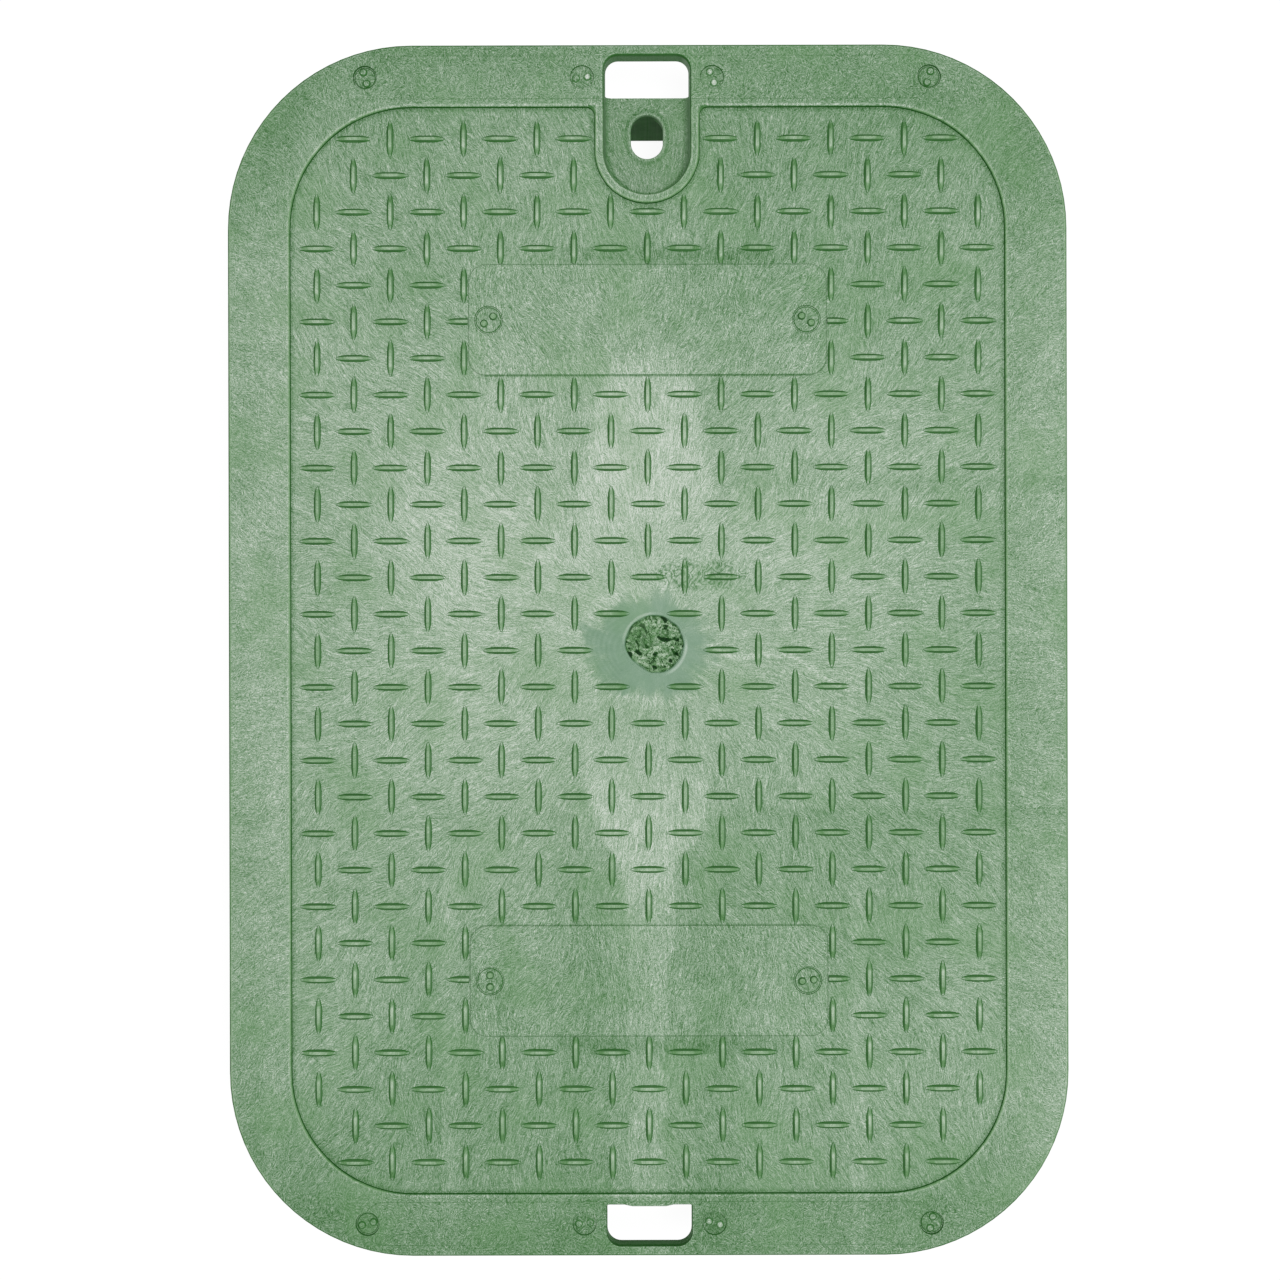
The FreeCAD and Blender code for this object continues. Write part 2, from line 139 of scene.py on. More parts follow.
def pocket_outline(grow):
    """The finger pocket together with the slot that it leaves in the flange."""
    x, y = POCKET_HALF - SLOT_ROUND, half_length - SLOT_MARGIN - SLOT_ROUND
    return [
        *bend(0, pocket_end, POCKET_HALF + grow, 180, 360, 2 * BEND_STEPS),
        *bend(x, y, SLOT_ROUND + grow, 0, 90, SLOT_STEPS),
        *bend(-x, y, SLOT_ROUND + grow, 90, 180, SLOT_STEPS),
    ]


def cup_outline(grow):
    """Outside of the cup that the finger pocket makes below the deck. It ends inside the skirt's wall."""
    side, end = border_half + grow, skirt_end - SKIRT_WALL / 2
    return [*bend(0, pocket_end, side, 180, 360, 2 * BEND_STEPS), (side, end), (-side, end)]


print("field outline:", len(field_outline(0)), "points; pocket outline:", len(pocket_outline(0)), "points")

# %% Edges of the finger slot at the plain end, and of the lock bolt slot
PLAIN_HALF = 15.2
PLAIN_ROUND = 0.8
PLAIN_DEPTH = 14.75
SWELL = 0.6
BOLT_ROUND = 5.75
BOLT_STRAIGHT = 2.05
BOLT_INSET = 13.9
bolt_y = skirt_end - BOLT_INSET


def plain_slot_outline(grow):
    """Finger slot at the plain end. Its inner edge stands out a little in the middle."""
    x, y = PLAIN_HALF - SLOT_ROUND, -(half_length - SLOT_MARGIN - SLOT_ROUND)
    inner_x, small = PLAIN_HALF - PLAIN_ROUND, PLAIN_ROUND + grow
    edge = PLAIN_DEPTH - half_length + SLOT_MARGIN
    swell = [(8.6, edge), (5.8, edge - SWELL), (-6.1, edge - SWELL), (-8.9, edge)]
    return [
        *bend(x, y, SLOT_ROUND + grow, 270, 360, SLOT_STEPS),
        *bend(inner_x, edge - PLAIN_ROUND, small, 0, 90, SLOT_STEPS),
        *((swell_x, swell_y + grow) for swell_x, swell_y in swell),
        *bend(-inner_x, edge - PLAIN_ROUND, small, 90, 180, SLOT_STEPS),
        *bend(-x, y, SLOT_ROUND + grow, 180, 270, SLOT_STEPS),
    ]


def bolt_slot_outline(grow):
    """Slot for the lock bolt, with half round ends."""
    radius = BOLT_ROUND + grow
    return [*bend(0, bolt_y + BOLT_STRAIGHT, radius, 0, 180), *bend(0, bolt_y - BOLT_STRAIGHT, radius, 180, 360)]


print("plain slot:", len(plain_slot_outline(0)), "points; bolt slot:", len(bolt_slot_outline(0)), "points")

# %% [markdown]
# A mould is cut with rounded tools, so every edge of the moulding has a small radius. One way to get it is a Bevel
# modifier at the end, but bevels trip over the crowded corners that booleans leave. Here each solid is lofted instead:
# the same outline, stacked at several heights and grown a little at each, so that the rounding is in the solid before
# it joins or cuts another.

# %% Lofted solids
def new_object(name, vertices, faces):
    """Mesh object from points in millimetres."""
    mesh = bpy.data.meshes.new(name)
    mesh.from_pydata([(x * MM, y * MM, z * MM) for x, y, z in vertices], [], faces)
    mesh.update()
    made = bpy.data.objects.new(name, mesh)
    bpy.context.scene.collection.objects.link(made)
    return made


def strips(count, rows, closed=False):
    """Faces between rows of points that lie one after the other."""
    pairs = [(k, k + 1) for k in range(rows - 1)]
    if closed:
        pairs.append((rows - 1, 0))
    steps = [(i, (i + 1) % count) for i in range(count)]
    return [(a * count + i, a * count + j, b * count + j, b * count + i) for a, b in pairs for i, j in steps]


def stack(outline, levels):
    """Points of one outline at each (grow, height) level, and how many there are at a level."""
    loops = [[(x, y, z) for x, y in outline(grow)] for grow, z in levels]
    return [point for loop in loops for point in loop], len(loops[0])


def loft(name, outline, levels):
    """Closed solid through (grow, height) levels of one outline, from the lowest to the highest."""
    points, count = stack(outline, levels)
    ends = [tuple(reversed(range(count))), tuple(range(len(points) - count, len(points)))]
    return new_object(name, points, strips(count, len(levels)) + ends)


def ring(name, outline, levels):
    """Closed tube that follows an outline, through the (grow, height) corners of its section."""
    points, count = stack(outline, levels)
    return new_object(name, points, strips(count, len(levels), closed=True))


# %% Rounded edges, and solids that join or cut
def quarter_round(radius, steps=3):
    """(inset, drop) steps of a rounded edge, from its side to its flat."""
    turns = [math.radians(90 * k / steps) for k in range(steps + 1)]
    return [(radius * (1 - math.cos(a)), radius * (1 - math.sin(a))) for a in turns]


def bake(piece):
    """Makes what the modifiers show the piece's own mesh."""
    shown = piece.evaluated_get(bpy.context.evaluated_depsgraph_get())
    mesh = bpy.data.meshes.new_from_object(shown)
    piece.modifiers.clear()
    old, piece.data = piece.data, mesh
    bpy.data.meshes.remove(old)


def combine(base, operation, *tools):
    """Joins solids to a base solid, or cuts them out of it, and removes them."""
    for tool in tools:
        step = base.modifiers.new(tool.name, "BOOLEAN")
        step.operation, step.object, step.solver = operation, tool, "MANIFOLD"
    bake(base)
    for tool in tools:
        bpy.data.objects.remove(tool)
    print(base.name, operation.lower(), "->", len(base.data.polygons), "faces")
    return base


# %% [markdown]
# The cover starts as the flange slab on top of a block as wide as the skirt. The block is then hollowed, which leaves
# the skirt standing. The hollow's wall turns outwards near the deck, as the root of a moulded wall does.

# %% Flange and skirt
EDGE_ROUND = 1.2
SMALL_EDGE = 0.5
OVERLAP = 0.3
CLEAR = 1
WALL_ROOT = [(0, 1.5), (0.5, 0.5), (1.5, 0)]

flange_levels = [(SMALL_EDGE, seat), (0, seat + SMALL_EDGE)]
flange_levels += [(inset, rim_top - drop) for inset, drop in quarter_round(EDGE_ROUND)]
cover = loft("cover_moulding", flange_outline, flange_levels)

skirt_levels = [(SKIRT_INSET + SMALL_EDGE, 0), (SKIRT_INSET, SMALL_EDGE), (SKIRT_INSET, seat + OVERLAP)]
inner = SKIRT_INSET + SKIRT_WALL
hollow_levels = [(inner - SMALL_EDGE, -CLEAR), (inner - SMALL_EDGE, 0), (inner, SMALL_EDGE)]
hollow_levels += [(inner + spread, seat - below) for spread, below in WALL_ROOT]
skirt_block = loft("skirt_block", flange_outline, skirt_levels)
hollow = loft("hollow", flange_outline, hollow_levels)
combine(cover, "UNION", skirt_block)
combine(cover, "DIFFERENCE", hollow)

# %% [markdown]
# Ribs stiffen the deck from below. They are equal bars at an even pitch, which is what Geometry Nodes are for: a line
# of points, one bar on each point, and Realize Instances to make them real meshes. The same tree serves both
# directions, with its own bar, count and pitch for each.

# %% Helpers for node trees
def new_tree(name, inputs):
    """Geometry node tree with named inputs, given as (name, socket type) pairs after its geometry."""
    tree = bpy.data.node_groups.new(name, "GeometryNodeTree")
    tree.interface.new_socket("Geometry", in_out="INPUT", socket_type="NodeSocketGeometry")
    for label, kind in inputs:
        tree.interface.new_socket(label, in_out="INPUT", socket_type=f"NodeSocket{kind}")
    tree.interface.new_socket("Geometry", in_out="OUTPUT", socket_type="NodeSocketGeometry")
    return tree, tree.nodes.new("NodeGroupInput").outputs, tree.nodes.new("NodeGroupOutput").inputs[0]


def add(tree, kind, links=(), **settings):
    """New node with its settings, and links into its inputs as (input, socket or value) pairs."""
    made = tree.nodes.new(kind)
    for setting, choice in settings.items():
        setattr(made, setting, choice)
    for key, source in links:
        if isinstance(source, bpy.types.NodeSocket):
            tree.links.new(source, made.inputs[key])
        else:
            made.inputs[key].default_value = source
    return made


def shape_of(tree, source):
    """Mesh of the object that an input gives."""
    return add(tree, "GeometryNodeObjectInfo", [("Object", source)]).outputs["Geometry"]


def copies(tree, points, source, *links):
    """Real copies of an object's mesh on every point."""
    links = [("Points", points), ("Instance", shape_of(tree, source)), *links]
    placed = add(tree, "GeometryNodeInstanceOnPoints", links)
    return add(tree, "GeometryNodeRealizeInstances", [("Geometry", placed.outputs[0])]).outputs[0]


# %% How a tree ends, and how it runs
def end_tree(tree, geometry, finish, out):
    """Sets the finish on what the tree made, and puts it out."""
    done = add(tree, "GeometryNodeSetMaterial", [("Geometry", geometry), ("Material", finish)])
    tree.links.new(done.outputs[0], out)


def run_tree(piece, tree, **values):
    """Runs a tree on a piece with these inputs, by socket identifier, and keeps the result as its mesh."""
    step = piece.modifiers.new(tree.name, "NODES")
    step.node_group = tree
    inputs = [item for item in tree.interface.items_tree if item.in_out == "INPUT"]
    named = {item.name.replace(" ", "_").lower(): item.identifier for item in inputs}
    for name, choice in values.items():
        step[named[name]] = choice
    bake(piece)
    return piece


# %% Material to be filled later, so that every tree can set it
plastic = bpy.data.materials.new("green_structural_foam")
plastic.use_nodes = True
print("finish:", plastic.name)

# %% Tree for a row of ribs
rib_tree, given, out = new_tree(
    "rib_row", [("Bar", "Object"), ("Count", "Int"), ("First", "Vector"), ("Step", "Vector"), ("Finish", "Material")]
)
links = [("Count", given["Count"]), ("Start Location", given["First"]), ("Offset", given["Step"])]
line = add(rib_tree, "GeometryNodeMeshLine", links)
end_tree(rib_tree, copies(rib_tree, line.outputs[0], given["Bar"]), given["Finish"], out)
print("rib tree:", len(rib_tree.nodes), "nodes")

# %% The bars and their rows
RIB_HALF = 1.75
RIB_SHORT = 4
RIB_EDGE = 0.4
rib_section = [(-RIB_HALF + RIB_EDGE, RIB_SHORT), (RIB_HALF - RIB_EDGE, RIB_SHORT)]
right_side = [(RIB_HALF, RIB_SHORT + RIB_EDGE)]
right_side += [(RIB_HALF + spread, seat - below) for spread, below in WALL_ROOT]
right_side.append((right_side[-1][0], seat + OVERLAP))
rib_section += right_side + [(-x, z) for x, z in reversed(right_side)]


def rib_row(name, reach, pitch, count, along_y):
    """Row of bars that run from skirt to skirt."""
    ends = [[(x, sign * reach, z) if along_y else (-sign * reach, x, z) for x, z in rib_section] for sign in (-1, 1)]
    corners = len(rib_section)
    faces = [(i, (i + 1) % corners, corners + (i + 1) % corners, corners + i) for i in range(corners)]
    faces += [tuple(reversed(range(corners))), tuple(range(corners, 2 * corners))]
    bar_piece = new_object(f"{name}_bar", ends[0] + ends[1], faces)
    bar_piece.data.flip_normals()
    step = Vector((pitch, 0, 0) if along_y else (0, pitch, 0)) * MM
    row = new_object(name, [], [])
    run_tree(row, rib_tree, bar=bar_piece, count=count, first=step * (1 - count) / 2, step=step, finish=plastic)
    bpy.data.objects.remove(bar_piece)
    return row


# %% Ribs and pocket cup join the cover
LONG_PITCH = 70
CROSS_PITCH = 59
CUP_FLOOR = 4
CUP_EDGE = 0.6
wall_middle = SKIRT_INSET + SKIRT_WALL / 2
long_ribs = rib_row("long_ribs", half_length - wall_middle, LONG_PITCH, 3, along_y=True)
cross_ribs = rib_row("cross_ribs", half_width - wall_middle, CROSS_PITCH, 5, along_y=False)
bolt_bay = loft("bolt_bay", cup_outline, [(0, -CLEAR), (0, pocket_floor - 3.5)])
combine(long_ribs, "DIFFERENCE", bolt_bay)
cup_levels = [(-CUP_EDGE, pocket_floor - CUP_FLOOR), (0, pocket_floor - CUP_FLOOR + CUP_EDGE), (0, seat + OVERLAP)]
pocket_cup = loft("pocket_cup", cup_outline, cup_levels)
combine(cover, "UNION", long_ribs, cross_ribs, pocket_cup)

# %% [markdown]
# The top is cut next: the tread field, the finger pocket, the two slots and the hole for the lock bolt. Each cutter
# flares where it comes out of the plastic, so the edge that it leaves is rounded. The field is cut twice: a plain
# cutter takes its depth, and a ring along its edge rounds the step and leaves the fine groove at its foot.

# %% Tread field, with the step up to the rim
STEP_OUT = 0.8
foot_and_slope = [(-0.4, field - 0.22), (-0.2, field - 0.16), (0, field + 0.3), (0.15, field + 0.75)]
step_top = [(0.4, rim_top - 0.1), (STEP_OUT, rim_top), (STEP_OUT, rim_top + CLEAR)]
way_back = [(-2, rim_top + CLEAR), (-2, field + 0.1), (-0.9, field)]
field_cut = loft("field_cut", field_outline, [(-0.75, field), *step_top[1:]])
groove_cut = ring("groove_cut", field_outline, foot_and_slope + step_top + way_back)
combine(cover, "DIFFERENCE", field_cut, groove_cut)


# %% Finger pocket and slots
def cutter_levels(bottom, top, lip, floor_round=0.0, lean=0.0):
    """Levels of a cutter from its floor to above the surface, with a rounded lip and a rounded floor edge."""
    levels = []
    if floor_round:
        deep = -lean * (top - bottom - floor_round)
        levels = [(deep - inset, bottom + drop) for drop, inset in quarter_round(floor_round)[:-1]]
    start = bottom + floor_round
    levels.append((-lean * (top - start), start))
    levels.append((-lean * lip, top - lip))
    levels += [(inset, top - drop) for inset, drop in quarter_round(lip)[1:]]
    levels.append((lip, top + CLEAR))
    return levels


pocket_levels = cutter_levels(pocket_floor, rim_top, lip=0.45, floor_round=2.0, lean=POCKET_LEAN)
pocket_cut = loft("pocket_cut", pocket_outline, pocket_levels)
slot_levels = [(-0.2, seat - 0.01), (-0.1, rim_top - 0.5), (0.1, rim_top - 0.15)]
slot_levels += [(0.4, rim_top), (0.4, rim_top + CLEAR)]
plain_cut = loft("plain_cut", plain_slot_outline, slot_levels)
combine(cover, "DIFFERENCE", pocket_cut, plain_cut)

# %% Lock bolt slot, with a low bead round it
BEAD_WIDTH = 1.6
BEAD_RISE = 0.35
bead = [(-1, -1), (BEAD_WIDTH, -1), (BEAD_WIDTH, 0), (1.2, 0.25), (0.6, BEAD_RISE), (-1, BEAD_RISE)]
bead = [(grow, pocket_floor + rise) for grow, rise in bead]
combine(cover, "UNION", ring("bolt_bead", bolt_slot_outline, bead))
bolt_levels = cutter_levels(pocket_floor - 6, pocket_floor + BEAD_RISE, lip=0.5)
combine(cover, "DIFFERENCE", loft("bolt_cut", bolt_slot_outline, bolt_levels))

# %% [markdown]
# The two blank plates and the long inserts on the rim come from loose blocks in the mould. A plate stands a hair
# above the field, and a fine line shows where the block met the mould. The line could be drawn in the material, but
# a real groove catches the light from any side, so a thin ring is cut out along each outline.

# %% Blank plates and insert lines
PLATE_HALF = (63.25, 19.5)
PLATE_ROUND = 6
PLATE_OFFSET = 117
PLATE_RISE = 0.2
INSERT_HALF = 101.3
INSERT_ROUND = 7.6
INSERT_INSET = 11.65


def plate_outline(side):
    """Outline of the plate at one end."""
    x, y = PLATE_HALF[0] - PLATE_ROUND, PLATE_HALF[1] - PLATE_ROUND
    return lambda grow: four_bends(x, y, PLATE_ROUND + grow, side * PLATE_OFFSET, SLOT_STEPS)


def insert_outline(side):
    """Long insert along the rim at one end, with round ends."""
    x, y = INSERT_HALF - INSERT_ROUND, side * (half_length - INSERT_INSET)
    return lambda grow: [
        *bend(x, y, INSERT_ROUND + grow, -90, 90, 12),
        *bend(-x, y, INSERT_ROUND + grow, 90, 270, 12),
    ]


for side in (-1, 1):
    rise = [(0, field - 0.5), (0, field + PLATE_RISE - 0.1), (-0.1, field + PLATE_RISE)]
    combine(cover, "UNION", loft("plate", plate_outline(side), rise))
    plate_top = field + PLATE_RISE
    seam = ring("plate_seam", plate_outline(side), [(0.5, plate_top), (0.02, plate_top), (0.2, field - 0.05)])
    combine(cover, "DIFFERENCE", seam)
    line_cut = [(0.3, rim_top + 0.2), (-0.3, rim_top + 0.2), (0, rim_top - 0.05)]
    combine(cover, "DIFFERENCE", ring("insert_seam", insert_outline(side), line_cut))

# %% [markdown]
# Screws hold the inserts in the mould. Each screw head leaves a round mark, and the two holes for its pin key leave
# two small pegs. The marks sit at odd angles, because every screw stopped somewhere else. The tree puts one cutter
# and one pair of pegs on each point, and turns the pair by the point's own angle.

# %% Tree for the screw marks
mark_tree, given, out = new_tree(
    "screw_marks", [("Places", "Object"), ("Head", "Object"), ("Pegs", "Object"), ("Finish", "Material")]
)


def join(tree, operation, first, second):
    """Two meshes joined, or the second cut out of the first. A union takes both on the same input."""
    links = [("Mesh 2", second), ("Mesh 1" if operation == "DIFFERENCE" else "Mesh 2", first)]
    return add(tree, "GeometryNodeMeshBoolean", links, operation=operation, solver="MANIFOLD").outputs["Mesh"]


def at_place(name):
    """Number that each place carries under this name."""
    return add(mark_tree, "GeometryNodeInputNamedAttribute", [("Name", name)], data_type="FLOAT").outputs[0]


places = shape_of(mark_tree, given["Places"])
spin = add(mark_tree, "ShaderNodeCombineXYZ", [("Z", at_place("turn"))]).outputs[0]
size = at_place("size")
wide = add(mark_tree, "ShaderNodeCombineXYZ", [("X", size), ("Y", size), ("Z", 1.0)]).outputs[0]
heads = copies(mark_tree, places, given["Head"], ("Scale", wide))
sunk = join(mark_tree, "DIFFERENCE", given["Geometry"], heads)
pegged = join(mark_tree, "UNION", sunk, copies(mark_tree, places, given["Pegs"], ("Rotation", spin)))
end_tree(mark_tree, pegged, given["Finish"], out)
print("mark tree:", len(mark_tree.nodes), "nodes")

# %% One screw mark and its places
PEG_ROUND = 1.2
PEG_OFFSET = 2.05


def circle(x, y, radius, steps):
    """Points round a full circle."""
    return bend(x, y, radius, 0, 360 - 360 / steps, steps - 1)


def four_marks(x, y, turns):
    """Marks at a place and its mirror images, from the upper left to the lower right, each with its own turn."""
    return list(zip((-x, x, -x, x), (y, y, -y, -y), turns))


def press_marks(marks, height, radius, floor, groove, peg_top):
    """Cuts the screw heads into the surface at this height, each with a groove round its edge, and adds their pegs."""
    spots = new_object("mark_places", [(x, y, height) for x, y, _ in marks], [])
    for name, values in (("turn", [math.radians(a) for _, _, a in marks]), ("size", [radius] * len(marks))):
        spots.data.attributes.new(name, "FLOAT", "POINT").data.foreach_set("value", values)
    section = [(-0.5, floor), (-0.2, floor - groove), (0.1, floor - groove), (0.3, 0), (0.3, 0.5)]
    edge = [(1 + grow / radius, z) for grow, z in section]
    head = loft("screw_head", lambda grow: circle(0, 0, grow, 40), edge)
    dome = [(0.4, floor - 0.6), (0.25, floor), (-0.25, peg_top - 0.08), (-0.5, peg_top)]
    pegs = [
        loft("pegs", lambda grow, x=x: circle(x, 0, PEG_ROUND + grow, 14), dome) for x in (-PEG_OFFSET, PEG_OFFSET)
    ]
    pair = combine(pegs[0], "UNION", pegs[1])
    run_tree(cover, mark_tree, places=spots, head=head, pegs=pair, finish=plastic)
    for used in (spots, head, pair):
        bpy.data.objects.remove(used)


# %% Press the marks into the plates and the rim
PLATE_MARK_X = 56.25
OUTER_MARK_X = 99.7
INNER_MARK_X = 23
RIM_MARK_Y = 202.6
RIM_MARK_ROUND = 3.95
plate_marks = four_marks(PLATE_MARK_X, PLATE_OFFSET, (38, -35, 90, 7))
outer_marks = four_marks(OUTER_MARK_X, RIM_MARK_Y, (-74, 73, 15, 77))
inner_marks = four_marks(INNER_MARK_X, RIM_MARK_Y, (8, -68, 6, -16))
press_marks(plate_marks, field + PLATE_RISE, radius=4.75, floor=-0.05, groove=0.25, peg_top=0.65)
press_marks(outer_marks, rim_top, RIM_MARK_ROUND, floor=-0.6, groove=0.25, peg_top=-0.02)
press_marks(inner_marks, rim_top, RIM_MARK_ROUND, floor=-0.5, groove=0.1, peg_top=-0.02)
print("after the screw marks:", len(cover.data.polygons), "faces")

# %% [markdown]
# Molten plastic entered the mould through a gate at the middle. When the sprue was torn off it left a rough round
# scar, a little off centre. It is cut out with a disc whose lower face is uneven. The noise comes from `mathutils`,
# so it is the same at every run.

# %% Shape of the gate scar
GATE = (2.2, 2.0)
GATE_ROUND = 10.2
SCAR_RINGS = 22
SCAR_STEPS = 72
scar_turns = [2 * math.pi * i / SCAR_STEPS for i in range(SCAR_STEPS)]


def scar_edge(angle):
    """Radius of the scar, flattened towards the lower left and a little uneven."""
    wobble = noise.noise(Vector((2.2 * math.cos(angle), 2.2 * math.sin(angle), 3.1)))
    flat = max(0.0, math.cos(angle - math.radians(232))) ** 6
    return GATE_ROUND * (1 + 0.025 * wobble - 0.1 * flat)


def scar_floor(x, y):
    """Depth of the torn floor below the field: broad hollows, with fine pits and fibres."""
    broad = noise.noise(Vector((0.22 * x, 0.22 * y, 7.7)))
    fine = noise.fractal(Vector((0.75 * x, 0.75 * y, 1.3)), 0.9, 2.1, 3)
    pit = max(0.0, noise.noise(Vector((0.5 * x, 0.5 * y, 12.4))) - 0.28)
    return max(-2.4, min(-0.1, -0.75 + 0.35 * broad + 0.75 * fine - 3 * pit))


def scar_loop(share=1.0, grow=0.0):
    """Loop round the gate at a share of the scar's radius, moved out by a little."""
    reaches = [scar_edge(a) * share + grow for a in scar_turns]
    return [(r * math.cos(a), r * math.sin(a)) for a, r in zip(scar_turns, reaches)]


# %% Cut the scar, and raise the thin lip round it
scar_points = [(0, 0, scar_floor(0, 0))]
for k in range(1, SCAR_RINGS):
    scar_points += [(x, y, scar_floor(x, y)) for x, y in scar_loop(k / SCAR_RINGS)]
for grow, height in ((0, -0.6), (0.1, -0.1), (0.25, 0.3)):
    scar_points += [(x, y, height) for x, y in scar_loop(grow=grow)]
scar_points = [(GATE[0] + x, GATE[1] + y, field + z) for x, y, z in scar_points]
scar_faces = [(0, 1 + (i + 1) % SCAR_STEPS, 1 + i) for i in range(SCAR_STEPS)]
scar_faces += [tuple(1 + v for v in face) for face in strips(SCAR_STEPS, SCAR_RINGS + 2)]
scar_faces.append(tuple(range(len(scar_points) - SCAR_STEPS, len(scar_points))))
scar_cut = new_object("scar_cut", scar_points, scar_faces)

LIP_OUT = 0.75


def lip_outline(grow):
    """Middle of the lip, just outside the scar."""
    return [(GATE[0] + x, GATE[1] + y) for x, y in scar_loop(grow=LIP_OUT + grow)]


lip_section = [(-0.5, field - 0.2), (0.6, field - 0.2), (0.5, field + 0.02), (0, field + 0.14), (-0.4, field + 0.02)]
combine(cover, "UNION", ring("scar_lip", lip_outline, lip_section))
combine(cover, "DIFFERENCE", scar_cut)

# %% [markdown]
# The tread is a chequer of small lens-shaped lugs, which lie across and upright by turns. One lug is modelled, with
# few faces because there are hundreds. The tree makes the whole grid of points, finds which way each lug lies, and
# keeps only those that fit: clear of the rim, of the pocket's border and of the gate, with their middle outside the
# plates. A lug that reaches over the edge of a plate is cut short there.

# %% One tread lug
LUG_HALF = (6.6, 1.25)
LUG_SHOULDER = 0.62
LUG_FLARE = 0.25
LUG_HEIGHT = 0.95
LUG_ROOT = 0.3
LUG_FLAT = 0.35
LUG_TIP = LUG_HALF[0] + 0.1
STATIONS = (-0.97, -0.84, -0.6, -LUG_FLAT, LUG_FLAT, 0.6, 0.84, 0.97)


def lug_section(place):
    """Six corners across the lug, at a place along it from -1 to 1. Both ends run down to the field."""
    lens = (1 - abs(place) ** 4) ** 0.65
    height = LUG_HEIGHT * (1 - 0.9 * max(0, abs(place) - LUG_FLAT) / (1 - LUG_FLAT))
    foot, shoulder = LUG_HALF[1] * lens + LUG_FLARE, LUG_SHOULDER * lens
    right = [(foot, -LUG_ROOT), (shoulder, 0.85 * height), (0.5 * shoulder, height)]
    return [(LUG_HALF[0] * place, y, z) for y, z in [*right, *((-y, z) for y, z in reversed(right))]]


lug_points = [point for place in STATIONS for point in lug_section(place)]
last, tail, tip = len(lug_points) - 6, len(lug_points), len(lug_points) + 1
lug_points += [(-LUG_TIP, 0, -LUG_ROOT), (LUG_TIP, 0, -LUG_ROOT)]
lug_faces = strips(6, len(STATIONS))
lug_faces += [(tail, (i + 1) % 6, i) for i in range(6)] + [(tip, last + i, last + (i + 1) % 6) for i in range(6)]
lug = new_object("tread_lug", lug_points, lug_faces)
print("one lug:", len(lug.data.polygons), "faces")


# %% Arithmetic with Math nodes
def arithmetic(tree):
    """Functions that add Math nodes to a tree: any operation, sum, product, difference, largest, least, length."""
    def number(operation, *values):
        return add(tree, "ShaderNodeMath", list(enumerate(values)), operation=operation).outputs[0]

    def chain(operation):
        def run(first, *others):
            for other in others:
                first = number(operation, first, other)
            return first
        return run

    total, product = chain("ADD"), chain("MULTIPLY")

    def length(x, y):
        return number("SQRT", total(product(x, x), product(y, y)))

    return number, total, product, chain("SUBTRACT"), chain("MAXIMUM"), chain("MINIMUM"), length


# %% Tree for the tread: the grid
tread_inputs = [("Lug", "Object"), ("Plates", "Object"), ("Columns", "Int"), ("Rows", "Int"), ("Pitch", "Vector")]
tread_inputs += [("Level", "Float"), ("Half Length", "Float"), ("Half Width", "Float"), ("Corner", "Vector")]
tread_tree, given, out = new_tree("tread", [*tread_inputs, ("Finish", "Material")])
calc, plus, times, minus, largest, smallest, reach = arithmetic(tread_tree)


def parts_of(vector):
    """The three numbers of a vector."""
    return add(tread_tree, "ShaderNodeSeparateXYZ", [(0, vector)]).outputs


pitch, corner = parts_of(given["Pitch"]), parts_of(given["Corner"])
links = [("Vertices X", given["Columns"]), ("Size X", times(pitch[0], minus(given["Columns"], 1)))]
links += [("Vertices Y", given["Rows"]), ("Size Y", times(pitch[1], minus(given["Rows"], 1)))]
grid = add(tread_tree, "GeometryNodeMeshGrid", links)
lift = add(tread_tree, "ShaderNodeCombineXYZ", [("Z", given["Level"])])
raised = add(tread_tree, "GeometryNodeTransform", [("Geometry", grid.outputs[0]), ("Translation", lift.outputs[0])])
x, y, _ = parts_of(add(tread_tree, "GeometryNodeInputPosition").outputs[0])
side_x, side_y = calc("ABSOLUTE", x), calc("ABSOLUTE", y)

# %% Which lugs lie across, and which ones fit
GATE_CLEAR = 15
chequer = plus(calc("ROUND", calc("DIVIDE", x, pitch[0])), calc("ROUND", calc("DIVIDE", y, pitch[1])))
upright = calc("FLOORED_MODULO", chequer, 2)
across = minus(1, upright)
half_x = plus(times(across, given["Half Length"]), times(upright, given["Half Width"]))
half_y = plus(times(upright, given["Half Length"]), times(across, given["Half Width"]))


def rim_room(x, y):
    """Room between a lug's tip and the rim. `Corner` holds the field's corner centre and its radius."""
    return minus(corner[2], reach(largest(minus(x, corner[0]), 0), largest(minus(y, corner[1]), 0)))


def pocket_room(x, y):
    """Room between a lug's tip and the raised border round the finger pocket."""
    return minus(reach(x, smallest(minus(y, pocket_end * MM), 0)), border_half * MM)


plate_gap_y = minus(calc("ABSOLUTE", minus(side_y, PLATE_OFFSET * MM)), PLATE_HALF[1] * MM)
room = smallest(
    rim_room(plus(side_x, half_x), side_y),
    rim_room(side_x, plus(side_y, half_y)),
    pocket_room(largest(minus(side_x, half_x), 0), y),
    pocket_room(side_x, plus(y, half_y)),
    largest(minus(side_x, PLATE_HALF[0] * MM), plate_gap_y),
    minus(reach(x, y), GATE_CLEAR * MM),
)
fits = add(tread_tree, "FunctionNodeCompare", [(0, room), (1, 0.0)], operation="GREATER_THAN").outputs[0]

